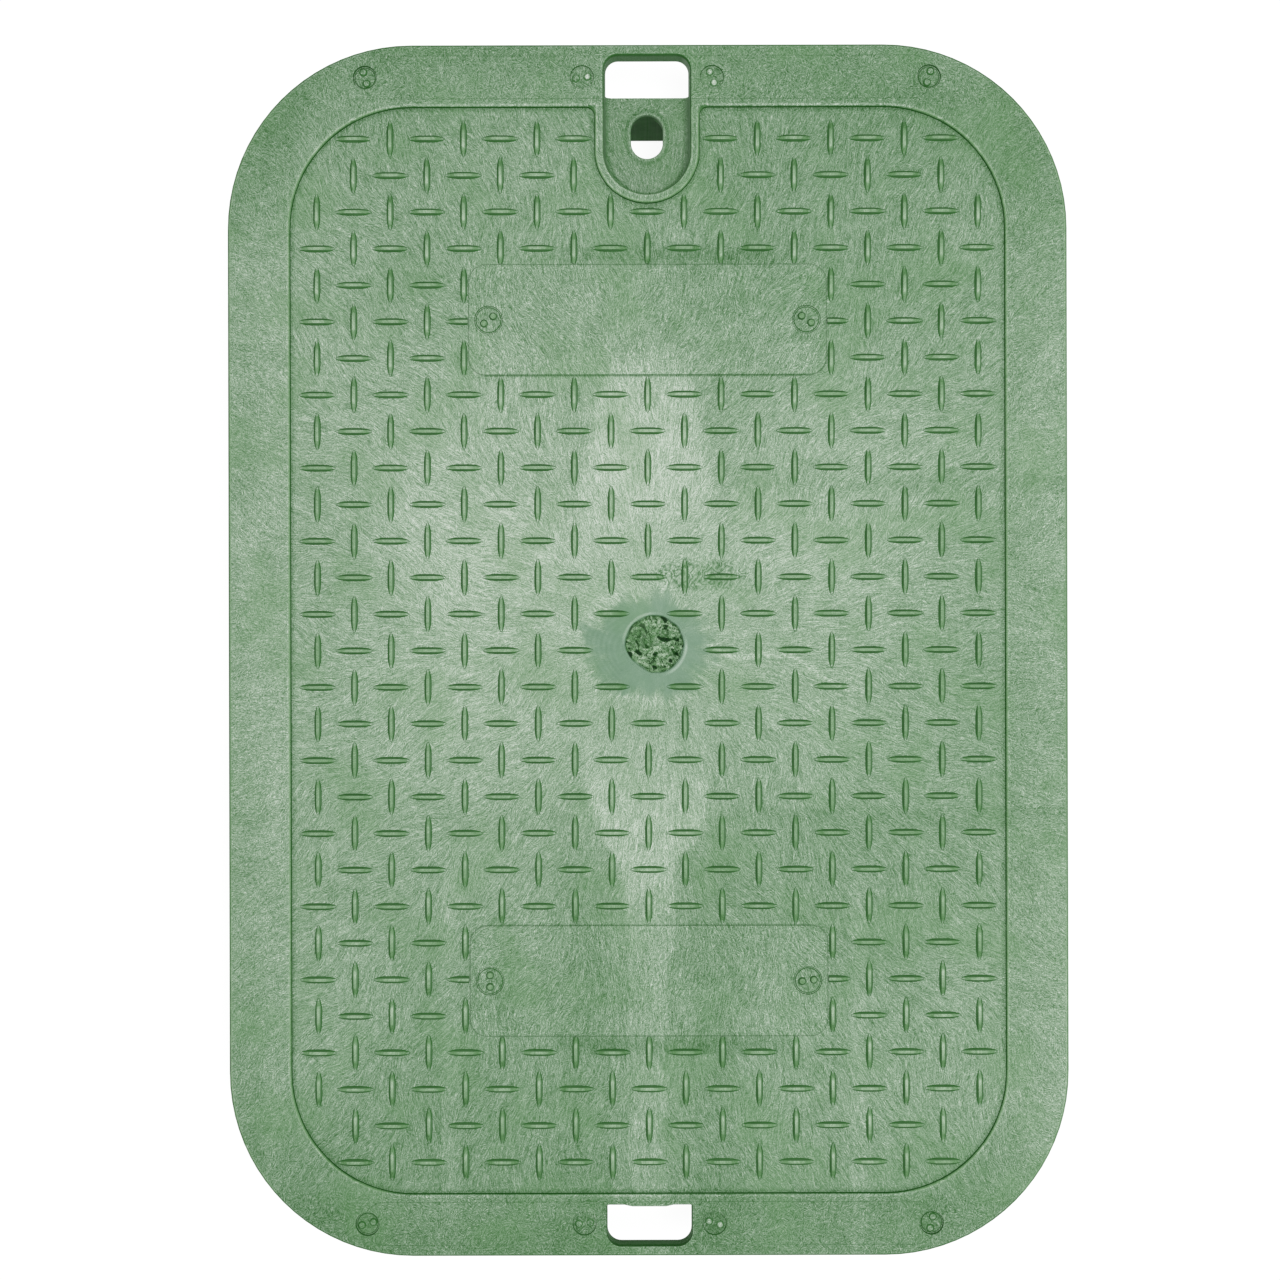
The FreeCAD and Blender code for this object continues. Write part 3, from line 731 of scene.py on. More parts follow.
# %% Lugs on the grid, cut short by the plates
turned = add(tread_tree, "ShaderNodeCombineXYZ", [("Z", times(upright, math.pi / 2))]).outputs[0]
lugs = copies(tread_tree, raised.outputs[0], given["Lug"], ("Selection", fits), ("Rotation", turned))
trimmed = join(tread_tree, "DIFFERENCE", lugs, shape_of(tread_tree, given["Plates"]))
end_tree(tread_tree, join(tread_tree, "UNION", given["Geometry"], trimmed), given["Finish"], out)
print("tread tree:", len(tread_tree.nodes), "nodes")

# %% Add the tread to the cover
LUG_PITCH = (13, 12.94)
LUG_COLUMNS = 19
LUG_ROWS = 29
LUG_REACH = 6.3
plate_blocks = [loft("plate_block", plate_outline(side), [(0.4, field - 1), (0.4, rim_top)]) for side in (-1, 1)]
combine(plate_blocks[0], "UNION", plate_blocks[1])
before = len(cover.data.polygons)
run_tree(
    cover, tread_tree, lug=lug, plates=plate_blocks[0], columns=LUG_COLUMNS, rows=LUG_ROWS,
    pitch=Vector((*LUG_PITCH, 0)) * MM, level=field * MM, half_length=LUG_REACH * MM, half_width=LUG_HALF[1] * MM,
    corner=Vector((half_width - CORNER, half_length - CORNER, CORNER - RIM)) * MM, finish=plastic,
)
for used in (lug, plate_blocks[0]):
    bpy.data.objects.remove(used)
print("tread added", len(cover.data.polygons) - before, "faces")

# %% [markdown]
# Flat faces meet at real edges here, so shading is smooth only across the small steps of a rounding. The Weighted
# Normal modifier lets the larger face win at each point, so the wide flats stay flat right up to a rounding.

# %% Shading
SHARP_FROM = math.radians(33)
cover.data.shade_smooth()
cover.data.set_sharp_from_angle(angle=SHARP_FROM)
flats = cover.modifiers.new("flats", "WEIGHTED_NORMAL")
flats.keep_sharp = True
bake(cover)
print("cover:", len(cover.data.vertices), "points,", len(cover.data.polygons), "faces")

# %% [markdown]
# The plastic is green polyethylene with a foamed core. Its skin shows how it flowed: fine pale fibres that fan out
# from the gate, a pale plume along the middle, and darker bands where the melt sank over the ribs. A painted picture
# could carry all that, but nodes stay sharp from near by and need no file. Everything is worked out from the place on
# the cover, in millimetres, so it stays put from any side. Each step below adds to one number, `tone`, which is the
# brightness of the skin from 0 to 255 and becomes a colour at the end. Noise on the top is taken in plan only, which
# is quicker. The walls have a noise of their own, in all three directions. In a `ramp`, the first two numbers are
# where it starts and ends, mostly in millimetres, and the next two what it gives there, mostly in steps of tone.

# %% Helpers for the material: numbers
nodes = plastic.node_tree
nodes.nodes.clear()
number, total, product, less, most, least, length = arithmetic(nodes)


def without(share):
    """What a share leaves of 1."""
    return less(1, share)


def apart(value, middle):
    """Distance of a value from a middle."""
    return number("ABSOLUTE", less(value, middle))


def oval(x, y, weight_x, weight_y):
    """Length of (x, y), with a weight on each direction."""
    return number("SQRT", total(product(x, x, weight_x), product(y, y, weight_y)))


def from_row(value, pitch):
    """How far a value is past the nearest multiple of the pitch."""
    return less(value, product(number("ROUND", number("DIVIDE", value, pitch)), pitch))


def told(step):
    """Says how large the material has grown."""
    print(f"{step}: {len(nodes.nodes)} nodes so far")


# %% Helpers for the material: ramps, curves and noise
def ramp(value, start, end, low=0.0, high=1.0, smooth=True):
    """Value mapped from start..end to low..high, and held beyond them."""
    kind = "SMOOTHSTEP" if smooth else "LINEAR"
    links = [("Value", value), ("From Min", start), ("From Max", end), ("To Min", low), ("To Max", high)]
    return add(nodes, "ShaderNodeMapRange", links, interpolation_type=kind).outputs[0]


def near(value, middle, inside, outside, height=1):
    """This height where a value is close to a middle, and 0 further off."""
    return ramp(apart(value, middle), inside, outside, height, 0)


def curve(value, points):
    """Value read off a curve through (place, height) points."""
    start, end = points[0][0], points[-1][0]
    made = add(nodes, "ShaderNodeFloatCurve", [("Value", ramp(value, start, end, smooth=False))])
    line = made.mapping.curves[0]
    spots = [((place - start) / (end - start), height) for place, height in points]
    line.points[0].location, line.points[1].location = spots[0], spots[-1]
    for spot_place in spots[1:-1]:
        line.points.new(*spot_place)
    made.mapping.update()
    return made.outputs[0]


def texture(place, scale, detail, roughness=0.5, dimensions="2D"):
    """Noise texture, with its value and its colour as outputs."""
    links = [("Vector", place), ("Scale", scale), ("Detail", detail), ("Roughness", roughness)]
    return add(nodes, "ShaderNodeTexNoise", links, noise_dimensions=dimensions).outputs


def cloud(place, scale, detail=0.0, *choices):
    """Noise about 0, from about -0.5 to 0.5."""
    return less(texture(place, scale, detail, *choices)[0], 0.5)


def curled(scale, detail, turns):
    """Curled lines, from -1 to 1."""
    return number("SINE", product(cloud(spot, scale, detail), turns))


# %% Place on the cover, and direction of flow
coordinates = add(nodes, "ShaderNodeTexCoord").outputs["Object"]
spot = add(nodes, "ShaderNodeVectorMath", [(0, coordinates), ("Scale", 1 / MM)], operation="SCALE").outputs[0]
at_x, at_y, at_z = add(nodes, "ShaderNodeSeparateXYZ", [(0, spot)]).outputs
off_x, off_y = number("ABSOLUTE", at_x), number("ABSOLUTE", at_y)
normal = add(nodes, "ShaderNodeNewGeometry").outputs["Normal"]
rightward, _, up = add(nodes, "ShaderNodeSeparateXYZ", [(0, normal)]).outputs
gate_x, gate_y = less(at_x, GATE[0]), less(at_y, GATE[1])
gate_distance = length(gate_x, gate_y)
spread = number("ARCTAN2", gate_y, gate_x)
told("place")

# %% [markdown]
# The melt that ran straight on from the gate left a pale plume along the middle. It could be painted as a mask. Two
# curves along the length do as well, one for its width and one for its paleness, and noise frays its edge.

# %% Pale plume along the middle
PLUME_HALF = 40
plume_width = curve(at_y, [
    (-215, 0.15), (-80, 0.25), (-60, 0.5), (0, 0.6), (45, 0.6), (104, 0.3), (112, 0.1), (215, 0.1),
])
plume_light = curve(at_y, [
    (-215, 0.3), (-100, 0.42), (-68, 0.7), (-50, 0.45), (-15, 0), (25, 0), (58, 0.5), (84, 0.62), (106, 0.1),
    (112, 0), (215, 0),
])
plume_edge = total(off_x, product(cloud(spot, 0.07, 2.0), 7))
plume = product(ramp(number("DIVIDE", plume_edge, product(plume_width, PLUME_HALF)), 0.85, 1.1, 1, 0), plume_light)
told("plume")

# %% [markdown]
# The skin is full of fine fibres that lie the way the melt flowed. Noise that is stretched one way gives streaks, but
# all in one direction. Here the direction of flow is rounded to steps, and each step turns the noise its own way, so
# every small patch has straight fibres and neighbouring patches cross. The same fibres later give the skin its relief.

# %% Fibres in the skin, which follow the flow from the gate
drift = cloud(spot, 0.03, 1.0)
ragged = cloud(spot, 0.3)
end_rims = ramp(off_y, 189, 194)
on_rim = most(end_rims, ramp(off_x, 123, 128))
bending = product(drift, ramp(plume, 0, 0.4, 2.4, 0.5))
flow = total(spread, bending, product(cloud(spot, 0.1, 1.0), end_rims, 9))


def fibres(step, long, wide, stray):
    """Streaks along the flow, about 0. The direction is taken in steps, so that each patch has straight fibres."""
    turn = product(number("ROUND", number("DIVIDE", total(flow, product(ragged, stray)), step)), -step)
    turned = add(nodes, "ShaderNodeVectorRotate", [("Vector", spot), ("Angle", turn)], rotation_type="Z_AXIS")
    pull = (1 / long, 1 / wide, 0)
    pulled = add(nodes, "ShaderNodeVectorMath", [(0, turned.outputs[0]), (1, pull)], operation="MULTIPLY")
    return cloud(pulled.outputs[0], 1.0, 1.0)


long_fibres = fibres(0.35, 6.0, 0.36, 0.7)
short_fibres = fibres(0.6, 1.6, 0.3, 3.0)
bundles = fibres(0.3, 14.0, 1.5, 0.4)
speckle = cloud(spot, 2.6, 1.0)
told("fibres")

# %% Grain of the skin: fibres, bundles and speckle together
combed = product(ramp(gate_distance, 25, 60, 0.45, 1), ramp(off_y, 188, 194, 1, 0.6), ramp(off_x, 120, 130, 1, 0.45))
plate_side = ramp(apart(off_y, PLATE_OFFSET), PLATE_HALF[1] + 0.5, PLATE_HALF[1] - 0.5)
on_plate = product(plate_side, ramp(off_x, PLATE_HALF[0] + 0.75, PLATE_HALF[0] - 0.75))
plain = most(on_rim, on_plate)
grain = total(product(short_fibres, 1.35), product(speckle, 1.1))
grain = total(product(grain, ramp(plain, 0, 1, 1, 1.18)), product(bundles, 0.42))
skin = product(total(grain, product(long_fibres, combed, 1.1)), ramp(up, 0.1, 0.6, 0.3, 1))
swirls = product(curled(0.2, 2.0, 60), on_rim, 7)
told("grain")

# %% [markdown]
# The colour isn't even: the middle is pale, and the ends and sides are darker and greener. Three curves along the
# length hold these changes: one for the middle, one for the sides, and one for the lean from left to right.

# %% Tone of the skin, in steps of brightness from 0 to 255
TONE_LOW = 104
TONE_SPAN = 100
middle = curve(at_y, [
    (-215, 0.32), (-190, 0.42), (-168, 0.46), (-115, 0.46), (-72, 0.53), (-40, 0.61), (14, 0.7), (35, 0.74), (84, 0.64),
    (120, 0.51), (168, 0.46), (190, 0.41), (215, 0.32),
])
border = curve(at_y, [
    (-215, 0.33), (-190, 0.36), (-140, 0.53), (-60, 0.52), (40, 0.57), (140, 0.51), (190, 0.36), (215, 0.33),
])
lean = curve(at_y, [(-215, 0.72), (-160, 0.72), (-90, 0.36), (-50, 0.28), (60, 0.3), (215, 0.33)])
outward = ramp(off_x, 65, 125)
broad = total(product(middle, without(outward)), product(border, outward))
tilt = product(less(lean, 0.5), ramp(at_x, -60, 60, -1, 1), 18)
beside_ends = most(ramp(at_y, -55, -80), product(ramp(at_y, 40, 55), ramp(at_y, 98, 90), 0.7))
beside = product(ramp(plume_edge, 12, 18), ramp(plume_edge, 40, 24), beside_ends, -7)
uneven = product(cloud(spot, 0.02, 2.0), 14)
tone = total(product(broad, TONE_SPAN), TONE_LOW, tilt, product(plume, 33), beside, uneven)
told("tone")

# %% [markdown]
# Thick places cool last, and the skin over them sinks and dulls. So there are soft dark bands over the ribs, and
# streaks where the melt parted round the plates.

# %% Bands over the ribs, and lines beside the plates
band = product(near(off_y, CROSS_PITCH, 0, 6, -9), ramp(at_x, -60, 30, 0.45, 1), ramp(off_x, 20, 34))
from_middle = apart(at_x, 2)
pale_line = product(ramp(from_middle, 67.5, 71), ramp(from_middle, 77, 73), ramp(at_y, -70, -84), 8)
plate_shade = product(near(off_y, 140, 1, 5, -16), near(at_x, 8, 25, 50))
plate_line = product(near(off_y, 97.3, 0.2, 0.7, -30), ramp(off_x, 62, 55), ramp(at_y, -50, 50, 0.3, 1))
tone = total(tone, band, pale_line, plate_shade, plate_line)
told("bands")

# %% [markdown]
# The lugs were moulded in polished hollows, so they are smoother and greener than the field. They could have a
# material of their own, but then its edge would be hard. Height above the field finds them instead, and the pitch of
# the grid finds the two ends of each.

# %% Lugs are greener, with a painted highlight on the ridge and painted light and shade on the ends of upright lugs
lug_x, lug_y = number("ABSOLUTE", from_row(at_x, LUG_PITCH[0])), from_row(off_y, LUG_PITCH[1])
below_rim = ramp(at_z, rim_top - 0.03, rim_top - 0.04)
on_lug = product(ramp(at_z, field + 0.25, field + 0.45), below_rim, ramp(off_y, 192, 191))
# Painted highlight along the ridge of each lug, stronger further from the middle.
ridge_highlight = product(on_lug, ramp(at_z, field + 0.72, field + 0.93))
upright_lug = product(ramp(lug_x, 1.3, 1.0), ramp(off_y, 30, 120))
# Painted shade on the outer end of each upright lug, and painted light on the top of its inner end, as from a lamp over
# the middle.
outer_end_shade = product(ramp(lug_y, 0.5, 4.5, 0, -20), upright_lug)
inner_end_light = product(ramp(lug_y, 2, -3, 0, 34), upright_lug, ramp(at_z, field + 0.5, field + 0.8))
tone = total(tone, product(on_lug, total(-18, outer_end_shade, inner_end_light)), product(ridge_highlight, ramp(off_y, 40, 150, 12, 32)))
told("lugs")

# %% [markdown]
# Round the gate the fresh melt left a smooth halo with a feathered edge. The scar inside it is torn plastic: the mesh
# has its hollows, and the material adds tears finer than a mesh should carry, with their light and shade painted. A
# texture of cells with bent edges looks like the torn fragments, where plain noise would look like sand.

# %% Smooth halo round the gate, with a feathered edge
def spokes(count):
    """Noise about 0 that changes round the gate, but little away from it."""
    place = add(nodes, "ShaderNodeCombineXYZ", [("X", product(spread, count)), ("Y", product(gate_distance, 0.12))])
    return cloud(place.outputs[0], 1.0, 1.0)


fine_spokes = spokes(16)
stretched = oval(total(gate_x, 2.6), total(gate_y, 1), 0.74, 1.12)
halo_edge = total(stretched, product(spokes(5), 6), product(fine_spokes, 3.5), product(cloud(spot, 0.1, 2.0), 12))
halo = ramp(halo_edge, 13.5, 21.5, 1, 0)
scuff = product(near(halo_edge, 21, 0.5, 4.5), ramp(fine_spokes, -0.05, 0.2), 16)
arcs = product(number("SINE", product(total(gate_distance, product(drift, 16)), 3.4)), ramp(gate_x, -9, -15), halo, 5)
mottle = product(cloud(spot, 0.25, 2.0), 26)
halo_tone = total(ramp(gate_x, -14, -4, -32, -21), mottle, product(on_lug, -14))
tone = total(tone, product(halo, halo_tone), scuff, arcs)
told("halo")

# %% Torn floor of the gate scar, with painted shade in its cracks and pits
notch = near(spread, -2.23, 0.1, 0.7, 1.2)
scar_distance = total(gate_distance, notch, product(ragged, 0.9))
scar = ramp(scar_distance, 9.8, 10.3, 1, 0)
wrinkle = [(0, texture(spot, 0.45, 3.0)["Color"]), (1, (7, 7, 0)), (2, spot)]
bent = add(nodes, "ShaderNodeVectorMath", wrinkle, operation="MULTIPLY_ADD").outputs[0]


def fragments(feature, output):
    """Torn fragments with bent edges, about 2 mm across."""
    links = [("Vector", bent), ("Scale", 0.5)]
    return add(nodes, "ShaderNodeTexVoronoi", links, feature=feature, voronoi_dimensions="2D").outputs[output]


torn = cloud(spot, 0.6, 3.0, 0.7)
crack = fragments("DISTANCE_TO_EDGE", "Distance")
shade = add(nodes, "ShaderNodeSeparateColor", [(0, fragments("F1", "Color"))]).outputs[0]
# Painted shade in the cracks and pits, and a painted highlight along each side of a crack.
cracks = total(ramp(crack, 0.0, 0.1, -110, 0), near(crack, 0.2, 0.02, 0.12, 40))
pits = ramp(cloud(spot, 0.4), 0.14, 0.26, 0, -150)
crumple = product(curled(0.13, 1.0, 44), 28)
tone = total(tone, product(scar, total(-34, product(shade, 62), product(torn, 110), crumple, cracks, pits)))
told("scar")


# %% Edge of the scar, and the melt that curled beside it
def collar(distance, direction, end):
    """Arc of the lip that stands clear of the scar and catches the light."""
    arc = near(spread, direction, 0.4, end)
    return product(near(gate_distance, distance, 0.2, 0.7), arc)


edge_dark = product(near(scar_distance, 10.0, 0.15, 0.6), ramp(gate_y, -6, 2, 0.3, 1), -64)
tone = total(tone, edge_dark, product(most(collar(11.1, 2.3, 1.1), collar(11.3, -0.5, 0.9)), 46))
swirl_x, swirl_y = number("DIVIDE", less(at_x, 19), 15), number("DIVIDE", less(at_y, 27), 5)
swirl_edge = total(product(swirl_x, swirl_x), product(swirl_y, swirl_y), product(cloud(spot, 0.12, 1.0), 2.5))
wave_y = total(product(at_x, -0.28), product(number("SINE", product(at_x, 0.16)), 3), 9)
wave = product(near(at_y, wave_y, 0.4, 1.8), ramp(at_x, 17, 26), ramp(at_x, 84, 70))
curls = curled(0.14, 2.0, 55)
swirl_tone = total(-12, ramp(curls, -0.2, -0.9, 0, -34), ramp(curls, 0.3, 0.9, 0, 14))
tone = total(tone, product(ramp(swirl_edge, 1.3, 0.5), swirl_tone), product(wave, total(16, product(curls, 12))))
told("swirl")

# %% The grain joins the tone, fainter on the halo, the scar and the lugs
calm = product(without(product(most(halo, scar), 0.75)), without(product(on_lug, 0.4)))
blotches = product(plain, cloud(spot, 0.11, 3.0, 0.6), 24)
tone = total(tone, product(skin, calm, 74), swirls, blotches)
told("grain on the tone")

# %% [markdown]
# Small forms get a touch of tone too: darker, blotched screw marks, and painted light and shade: painted shade at the
# foot of a wall where it meets a floor, and a painted highlight along an edge. An Ambient Occlusion node could find
# such corners, but it is slow and grainy. The outlines are known here, so the distance from each of them does it.

# %% Screw marks are a little darker and blotched, with painted highlights on the peg tops and painted glints
def from_mark(x, y):
    """Distance from the mark at this place and at its mirror images."""
    return length(less(off_x, x), less(off_y, y))


rim_mark = least(from_mark(OUTER_MARK_X, RIM_MARK_Y), from_mark(INNER_MARK_X, RIM_MARK_Y))
plate_mark = from_mark(PLATE_MARK_X, PLATE_OFFSET)
marks = most(ramp(plate_mark, 4.2, 4.9, 1, 0), ramp(rim_mark, 3.4, 4.1, 1, 0))
# Painted highlight on the tops of the pegs in the rim marks. The glints below are painted highlights too.
peg_top_highlight = product(ramp(at_z, rim_top - 0.25, rim_top - 0.1), ramp(rim_mark, 3.4, 3.3), 12)
tone = total(tone, product(marks, total(-6, product(cloud(spot, 0.5, 2.0), 60), peg_top_highlight)))
glints = [(-21.0, 202.9, 1.0), (22.3, 204.5, 0.8), (23.8, 200.7, 1.5), (21.1, -202.0, 1.0), (24.9, -203.2, 1.1)]
for x, y, radius in glints:
    away = total(oval(less(at_x, x), less(at_y, y), 1.6, 0.8), product(speckle, 2.6))
    tone = total(tone, ramp(away, radius * 0.3, radius * 1.1, 64, 0))
told("screw marks")

# %% Bead round the bolt slot: a painted highlight on its lip and painted shade at its foot
from_bolt = most(less(apart(at_y, bolt_y), BOLT_STRAIGHT), 0)
from_edge = less(length(at_x, from_bolt), BOLT_ROUND)
# Painted highlight along the lip of the bead, and painted shade along its foot.
bead_light_and_shade = total(near(from_edge, 0.5, 0.1, 0.6, 9), near(from_edge, 1.7, 0.2, 0.9, -18))
tone = total(tone, product(bead_light_and_shade, ramp(at_z, pocket_floor - 1, pocket_floor - 0.5)))
told("bead")

# %% Finger pocket: painted shade along the foot of its wall, and a painted highlight on the inner edge of its border
pocket_part = ramp(at_y, 150, 155)
on_top = ramp(at_z, rim_top - 0.4, rim_top - 0.2)
from_pocket = length(at_x, least(less(at_y, pocket_end), 0))
in_pocket = product(pocket_part, ramp(at_z, rim_top - 2, rim_top - 4))
# Painted shade on the pocket floor along the foot of its wall.
foot = product(ramp(from_pocket, 12.6, 13.5), in_pocket, ramp(at_y, pocket_end, pocket_end - 8, 0.3, 1), -34)
border_edge_highlight = product(near(from_pocket, 16.2, 0.15, 0.5, 12), pocket_part, on_top)
tone = total(tone, foot, border_edge_highlight)
told("pocket")

# %% Step between field and rim: painted shade on the field side, a painted highlight along its top
over_x, over_y = most(less(off_x, half_width - CORNER), 0), most(less(off_y, half_length - CORNER), 0)
past_rim = less(length(over_x, over_y), CORNER - RIM)
past_step = most(past_rim, less(border_half, from_pocket))
step_shade = product(ramp(past_step, -2.2, -0.8), ramp(past_step, 0.1, -0.3), -13)
step_light = product(near(past_step, 0.75, 0.15, 0.5), ramp(at_y, 150, 190, 10, 22))
rim_fade = product(ramp(past_rim, -0.5, 0.5), ramp(past_rim, 2, 20, 2, -4), ramp(at_x, -90, 90, 1, -1))
rim_corners = product(ramp(at_y, 130, 160), ramp(off_x, 118, 130), -8)
rim_foot = product(ramp(at_y, -189, -196), ramp(at_x, -40, 40, -4, -9))
tone = total(tone, step_shade, product(step_light, on_top), rim_fade, rim_corners, rim_foot)
told("step")

# %% [markdown]
# Walls, flanks and the underside get a deeper green than the top. Part of that is painted shade: the flanks of the
# lugs and the step up to the rim are painted darker than the lamps leave them, and some walls in shade get painted
# light. They are told apart by the way a face points and by how far down it lies. Their noise is taken in three
# directions, because noise in plan would be drawn out into upright lines on a wall.

# %% Which faces are walls, flanks or the underside
lip = most(ramp(at_z, rim_top - 1.6, rim_top - 1), ramp(off_y, 197, 199, 0.45, 0.85))
lip = most(lip, ramp(past_rim, RIM - 0.6, RIM - 0.1, 0, 0.95))
# Painted shade on the flanks of the lugs is weaker at their inner end, which faces a lamp over the middle.
flank_shade_by_end = total(1, product(ramp(lug_y, 1, -5, 0, -0.55), ramp(off_y, 30, 120), on_lug))
steep = product(ramp(up, 0.96, 0.72), lip, flank_shade_by_end)
# Painted highlight along rounded top edges.
edge_light = product(ramp(up, 0.999, 0.985), ramp(up, 0.93, 0.96), ramp(at_z, rim_top - 0.3, rim_top - 0.15), 18)
tone = total(tone, edge_light)
under = most(ramp(at_z, pocket_floor - 0.5, pocket_floor - 1.5), ramp(up, -0.1, -0.4))
bare = most(steep, under)
told("walls")

# %% Deep tone of those faces, with painted shade and painted light in it
# The darkest tone, at the height of the field, is painted shade on the flanks of the lugs and on the step.
by_height = ramp(at_z, field - 1.5, field - 0.3, 120, 92)
wall_cloud = product(cloud(spot, 0.16, 5.0, 0.62, "3D"), 34)
# Painted shade along the step and in the hollow under the bolt slot.
step_line_shade = near(past_step, 0, 0.4, 0.9, -16)
cup_shade = product(ramp(off_x, 16, 14), ramp(at_y, 168, 172), ramp(at_y, 195, 193), under, -25)
# Painted light on the shaded walls of the finger pocket and its slot, and on lug flanks that face the lamp.
in_slot = product(ramp(off_x, 20, 18), pocket_part, ramp(at_y, 213.2, 212.2))
inward_fill_light = product(ramp(rightward, -0.3, -0.7), ramp(at_z, field - 0.3, field - 1), in_slot, 40)
slot_end_fill_light = product(ramp(at_y, 204, 207), in_slot, 18)
lit_right_flanks = product(ramp(rightward, 0.3, 0.7), on_lug, 30)
deep_tone = total(by_height, product(under, -19), wall_cloud, step_line_shade, lit_right_flanks, cup_shade, inward_fill_light, slot_end_fill_light)
tone = total(tone, product(bare, less(deep_tone, tone)))
told("deep tone")

# %% [markdown]
# At the end the tone is read off a ramp of greens, from the dark of a deep hole to the pale of the plume. The smooth
# halo is tinted a little towards blue, and the lugs, the scar and some broad patches towards green. The fibres also
# stand in relief. They are finer than the mesh, so a Bump node does. The plastic is dull, so it has little gloss.

# %% Ramp of greens
def level(*rgb):
    """Screen colour, 0 to 255, as Blender's linear colour."""
    parts = [v / 255 for v in rgb]
    return (*(v / 12.92 if v <= 0.04045 else ((v + 0.055) / 1.055) ** 2.4 for v in parts), 1)


stops = [
    (40, (20, 48, 22)), (70, (42, 84, 40)), (110, (80, 124, 76)), (150, (132, 161, 131)), (185, (174, 193, 172)),
    (215, (214, 222, 212)),
]
DARKEST, PALEST = stops[0][0], stops[-1][0]
colours = add(nodes, "ShaderNodeValToRGB", [("Fac", ramp(tone, DARKEST, PALEST, smooth=False))])
while len(colours.color_ramp.elements) < len(stops):
    colours.color_ramp.elements.new(0.5)
for element, (place, rgb) in zip(colours.color_ramp.elements, stops):
    element.position, element.color = (place - DARKEST) / (PALEST - DARKEST), level(*rgb)
told("greens")


# %% Tints
def tinted(share, colour, tint):
    """Colour with a share of a tint over it."""
    return add(nodes, "ShaderNodeMix", [(0, share), (6, colour), (7, level(*tint))], data_type="RGBA").outputs[2]


polished = most(on_lug, scar)
level_skin = without(bare)
teal = tinted(product(halo, without(polished), level_skin, 0.4), colours.outputs[0], (138, 167, 152))
green = tinted(product(polished, level_skin, ramp(tone, 60, 125, 0, 0.36)), teal, (118, 164, 106))
patches = ramp(cloud(spot, 0.035, 3.0, 0.6), -0.05, 0.22, 0, 0.3)
green = tinted(product(patches, level_skin), green, (108, 153, 101))
saturation = total(1, product(bare, without(on_lug), 0.18))
rich = add(nodes, "ShaderNodeHueSaturation", [("Saturation", saturation), ("Color", green)]).outputs[0]
told("tints")

# %% Relief, roughness and the shader
fibre_relief = product(short_fibres, ramp(gate_distance, 12, 20, 0.25, 1))
relief = total(fibre_relief, product(torn, scar, ramp(at_z, field - 2, field - 1.2, 0, 2)))
bump = add(nodes, "ShaderNodeBump", [("Strength", 0.7), ("Distance", 0.06 * MM), ("Height", relief)])
rough = total(0.62, product(short_fibres, 0.2), product(halo, level_skin, -0.1))
links = [("Base Color", rich), ("Roughness", rough), ("Normal", bump.outputs[0])]
links += [("IOR", 1.5), ("Specular IOR Level", 0.05)]
shader = add(nodes, "ShaderNodeBsdfPrincipled", links)
add(nodes, "ShaderNodeOutputMaterial", [("Surface", shader.outputs[0])])
print("plastic:", len(nodes.nodes), "nodes")

# %% [markdown]
# The camera looks straight down, as it did for the photograph, from about 0.6 m above the rim.

# %% Camera
bpy.context.scene.view_settings.view_transform = "Standard"
CAMERA_HEIGHT = 600
SEEN_WIDTH = 452.45
camera_data = bpy.data.cameras.new("camera")
camera_data.sensor_width = 36
camera_data.lens = camera_data.sensor_width * CAMERA_HEIGHT / SEEN_WIDTH
camera_data.clip_start = 0.01
camera = bpy.data.objects.new("camera", camera_data)
camera.location = Vector((-2.9, 3.6, rim_top + CAMERA_HEIGHT)) * MM
camera.rotation_euler = (0, 0, math.radians(-0.14))
bpy.context.scene.collection.objects.link(camera)
bpy.context.scene.camera = camera
print("camera: lens", round(camera_data.lens, 2), "mm")

# %% [markdown]
# Studio light: one large soft lamp above, a little to the right, and an even white surround. Each gives half of the
# light, so a colour on a level surface renders about as it is written. What the camera sees of the surround, straight
# or in a reflection, is full white.

# %% White surround
def seen_directly(tree):
    """1 where the camera looks, straight, in a reflection or through glass, and 0 for other light."""
    path = add(tree, "ShaderNodeLightPath").outputs
    calc_here, *_ = arithmetic(tree)
    straight = calc_here("MAXIMUM", path["Is Camera Ray"], path["Is Glossy Ray"])
    return calc_here("MAXIMUM", straight, path["Is Transmission Ray"])


HALF_LIGHT = 0.5
WHITE = (1, 1, 1, 1)
world = bpy.data.worlds.new("surround")
world.use_nodes = True
surround = world.node_tree.nodes["Background"].inputs
surround["Color"].default_value = WHITE
share = [(0, seen_directly(world.node_tree)), (1, 1 - HALF_LIGHT), (2, HALF_LIGHT)]
strength = add(world.node_tree, "ShaderNodeMath", share, operation="MULTIPLY_ADD")
world.node_tree.links.new(strength.outputs[0], surround["Strength"])
bpy.context.scene.world = world
print("surround gives", HALF_LIGHT, "of the light")

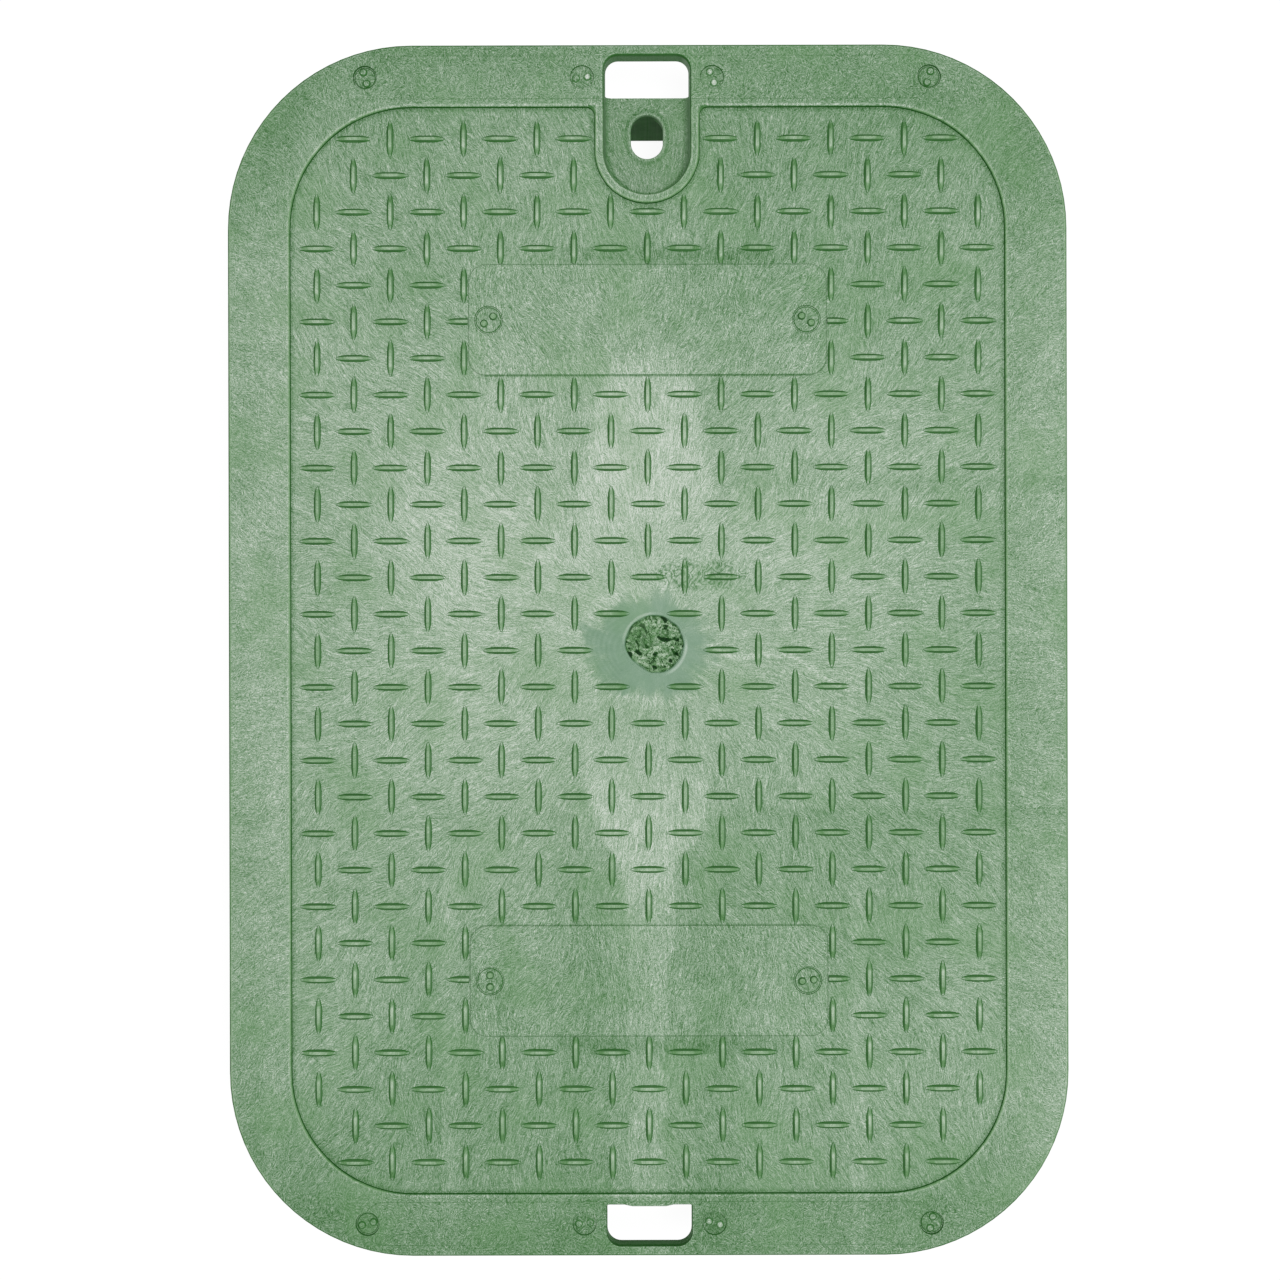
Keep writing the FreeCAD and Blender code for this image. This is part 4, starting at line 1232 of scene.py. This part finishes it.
# %% Soft lamp
LAMP_PLACE = Vector((0.34, -0.05, 1.7))
COVER_TOP = Vector((0, 0, 0.04))
lamp_data = bpy.data.lights.new("soft_lamp", "AREA")
lamp_data.shape = "DISK"
lamp_data.size = 0.6
lamp_data.energy = HALF_LIGHT * math.pi**2 * (LAMP_PLACE - COVER_TOP).length_squared
lamp = bpy.data.objects.new("soft_lamp", lamp_data)
lamp.location = LAMP_PLACE
lamp.rotation_euler = (-LAMP_PLACE).to_track_quat("-Z", "Y").to_euler()
bpy.context.scene.collection.objects.link(lamp)
print("lamp:", round(lamp_data.energy, 2), "W")

# %% [markdown]
# The floor shows white to the camera, and darkens a little where the cover shades it. Other light passes through it,
# and so does a look from below, so the ribs and the cup under the cover are lit by the surround and can be seen.

# %% Floor
FLOOR_HALF = 3000
FLOOR_LEVEL = -0.2
corners = [(-FLOOR_HALF, -FLOOR_HALF), (FLOOR_HALF, -FLOOR_HALF), (FLOOR_HALF, FLOOR_HALF), (-FLOOR_HALF, FLOOR_HALF)]
floor = new_object("floor", [(x, y, FLOOR_LEVEL) for x, y in corners], [(0, 1, 2, 3)])
paper = bpy.data.materials.new("white_paper")
paper.use_nodes = True
tree = paper.node_tree
tree.nodes.clear()
faint = add(tree, "ShaderNodeBsdfDiffuse", [("Color", (0.1, 0.1, 0.1, 1))])
glow = add(tree, "ShaderNodeEmission", [("Color", WHITE), ("Strength", 0.94)])
white = add(tree, "ShaderNodeAddShader", [(0, glow.outputs[0]), (1, faint.outputs[0])])
clear = add(tree, "ShaderNodeBsdfTransparent").outputs[0]
above_floor = add(tree, "ShaderNodeMixShader", [(0, seen_directly(tree)), (1, clear), (2, white.outputs[0])])
behind = add(tree, "ShaderNodeNewGeometry").outputs["Backfacing"]
mixed = add(tree, "ShaderNodeMixShader", [(0, behind), (1, above_floor.outputs[0]), (2, clear)])
add(tree, "ShaderNodeOutputMaterial", [("Surface", mixed.outputs[0])])
floor.data.materials.append(paper)
print("floor:", 2 * FLOOR_HALF, "mm wide, at", FLOOR_LEVEL, "mm")

# %% [markdown]
# The finished moulding rides on the part's one body, and stands for the CAD cover, which stays in place for contact,
# hidden. The dressed cover has to have the size of the solid one.

# %% Join the frame and finish
cover.data.materials.clear()
cover.data.materials.append(plastic)
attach(cover, "root")
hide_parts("cover")
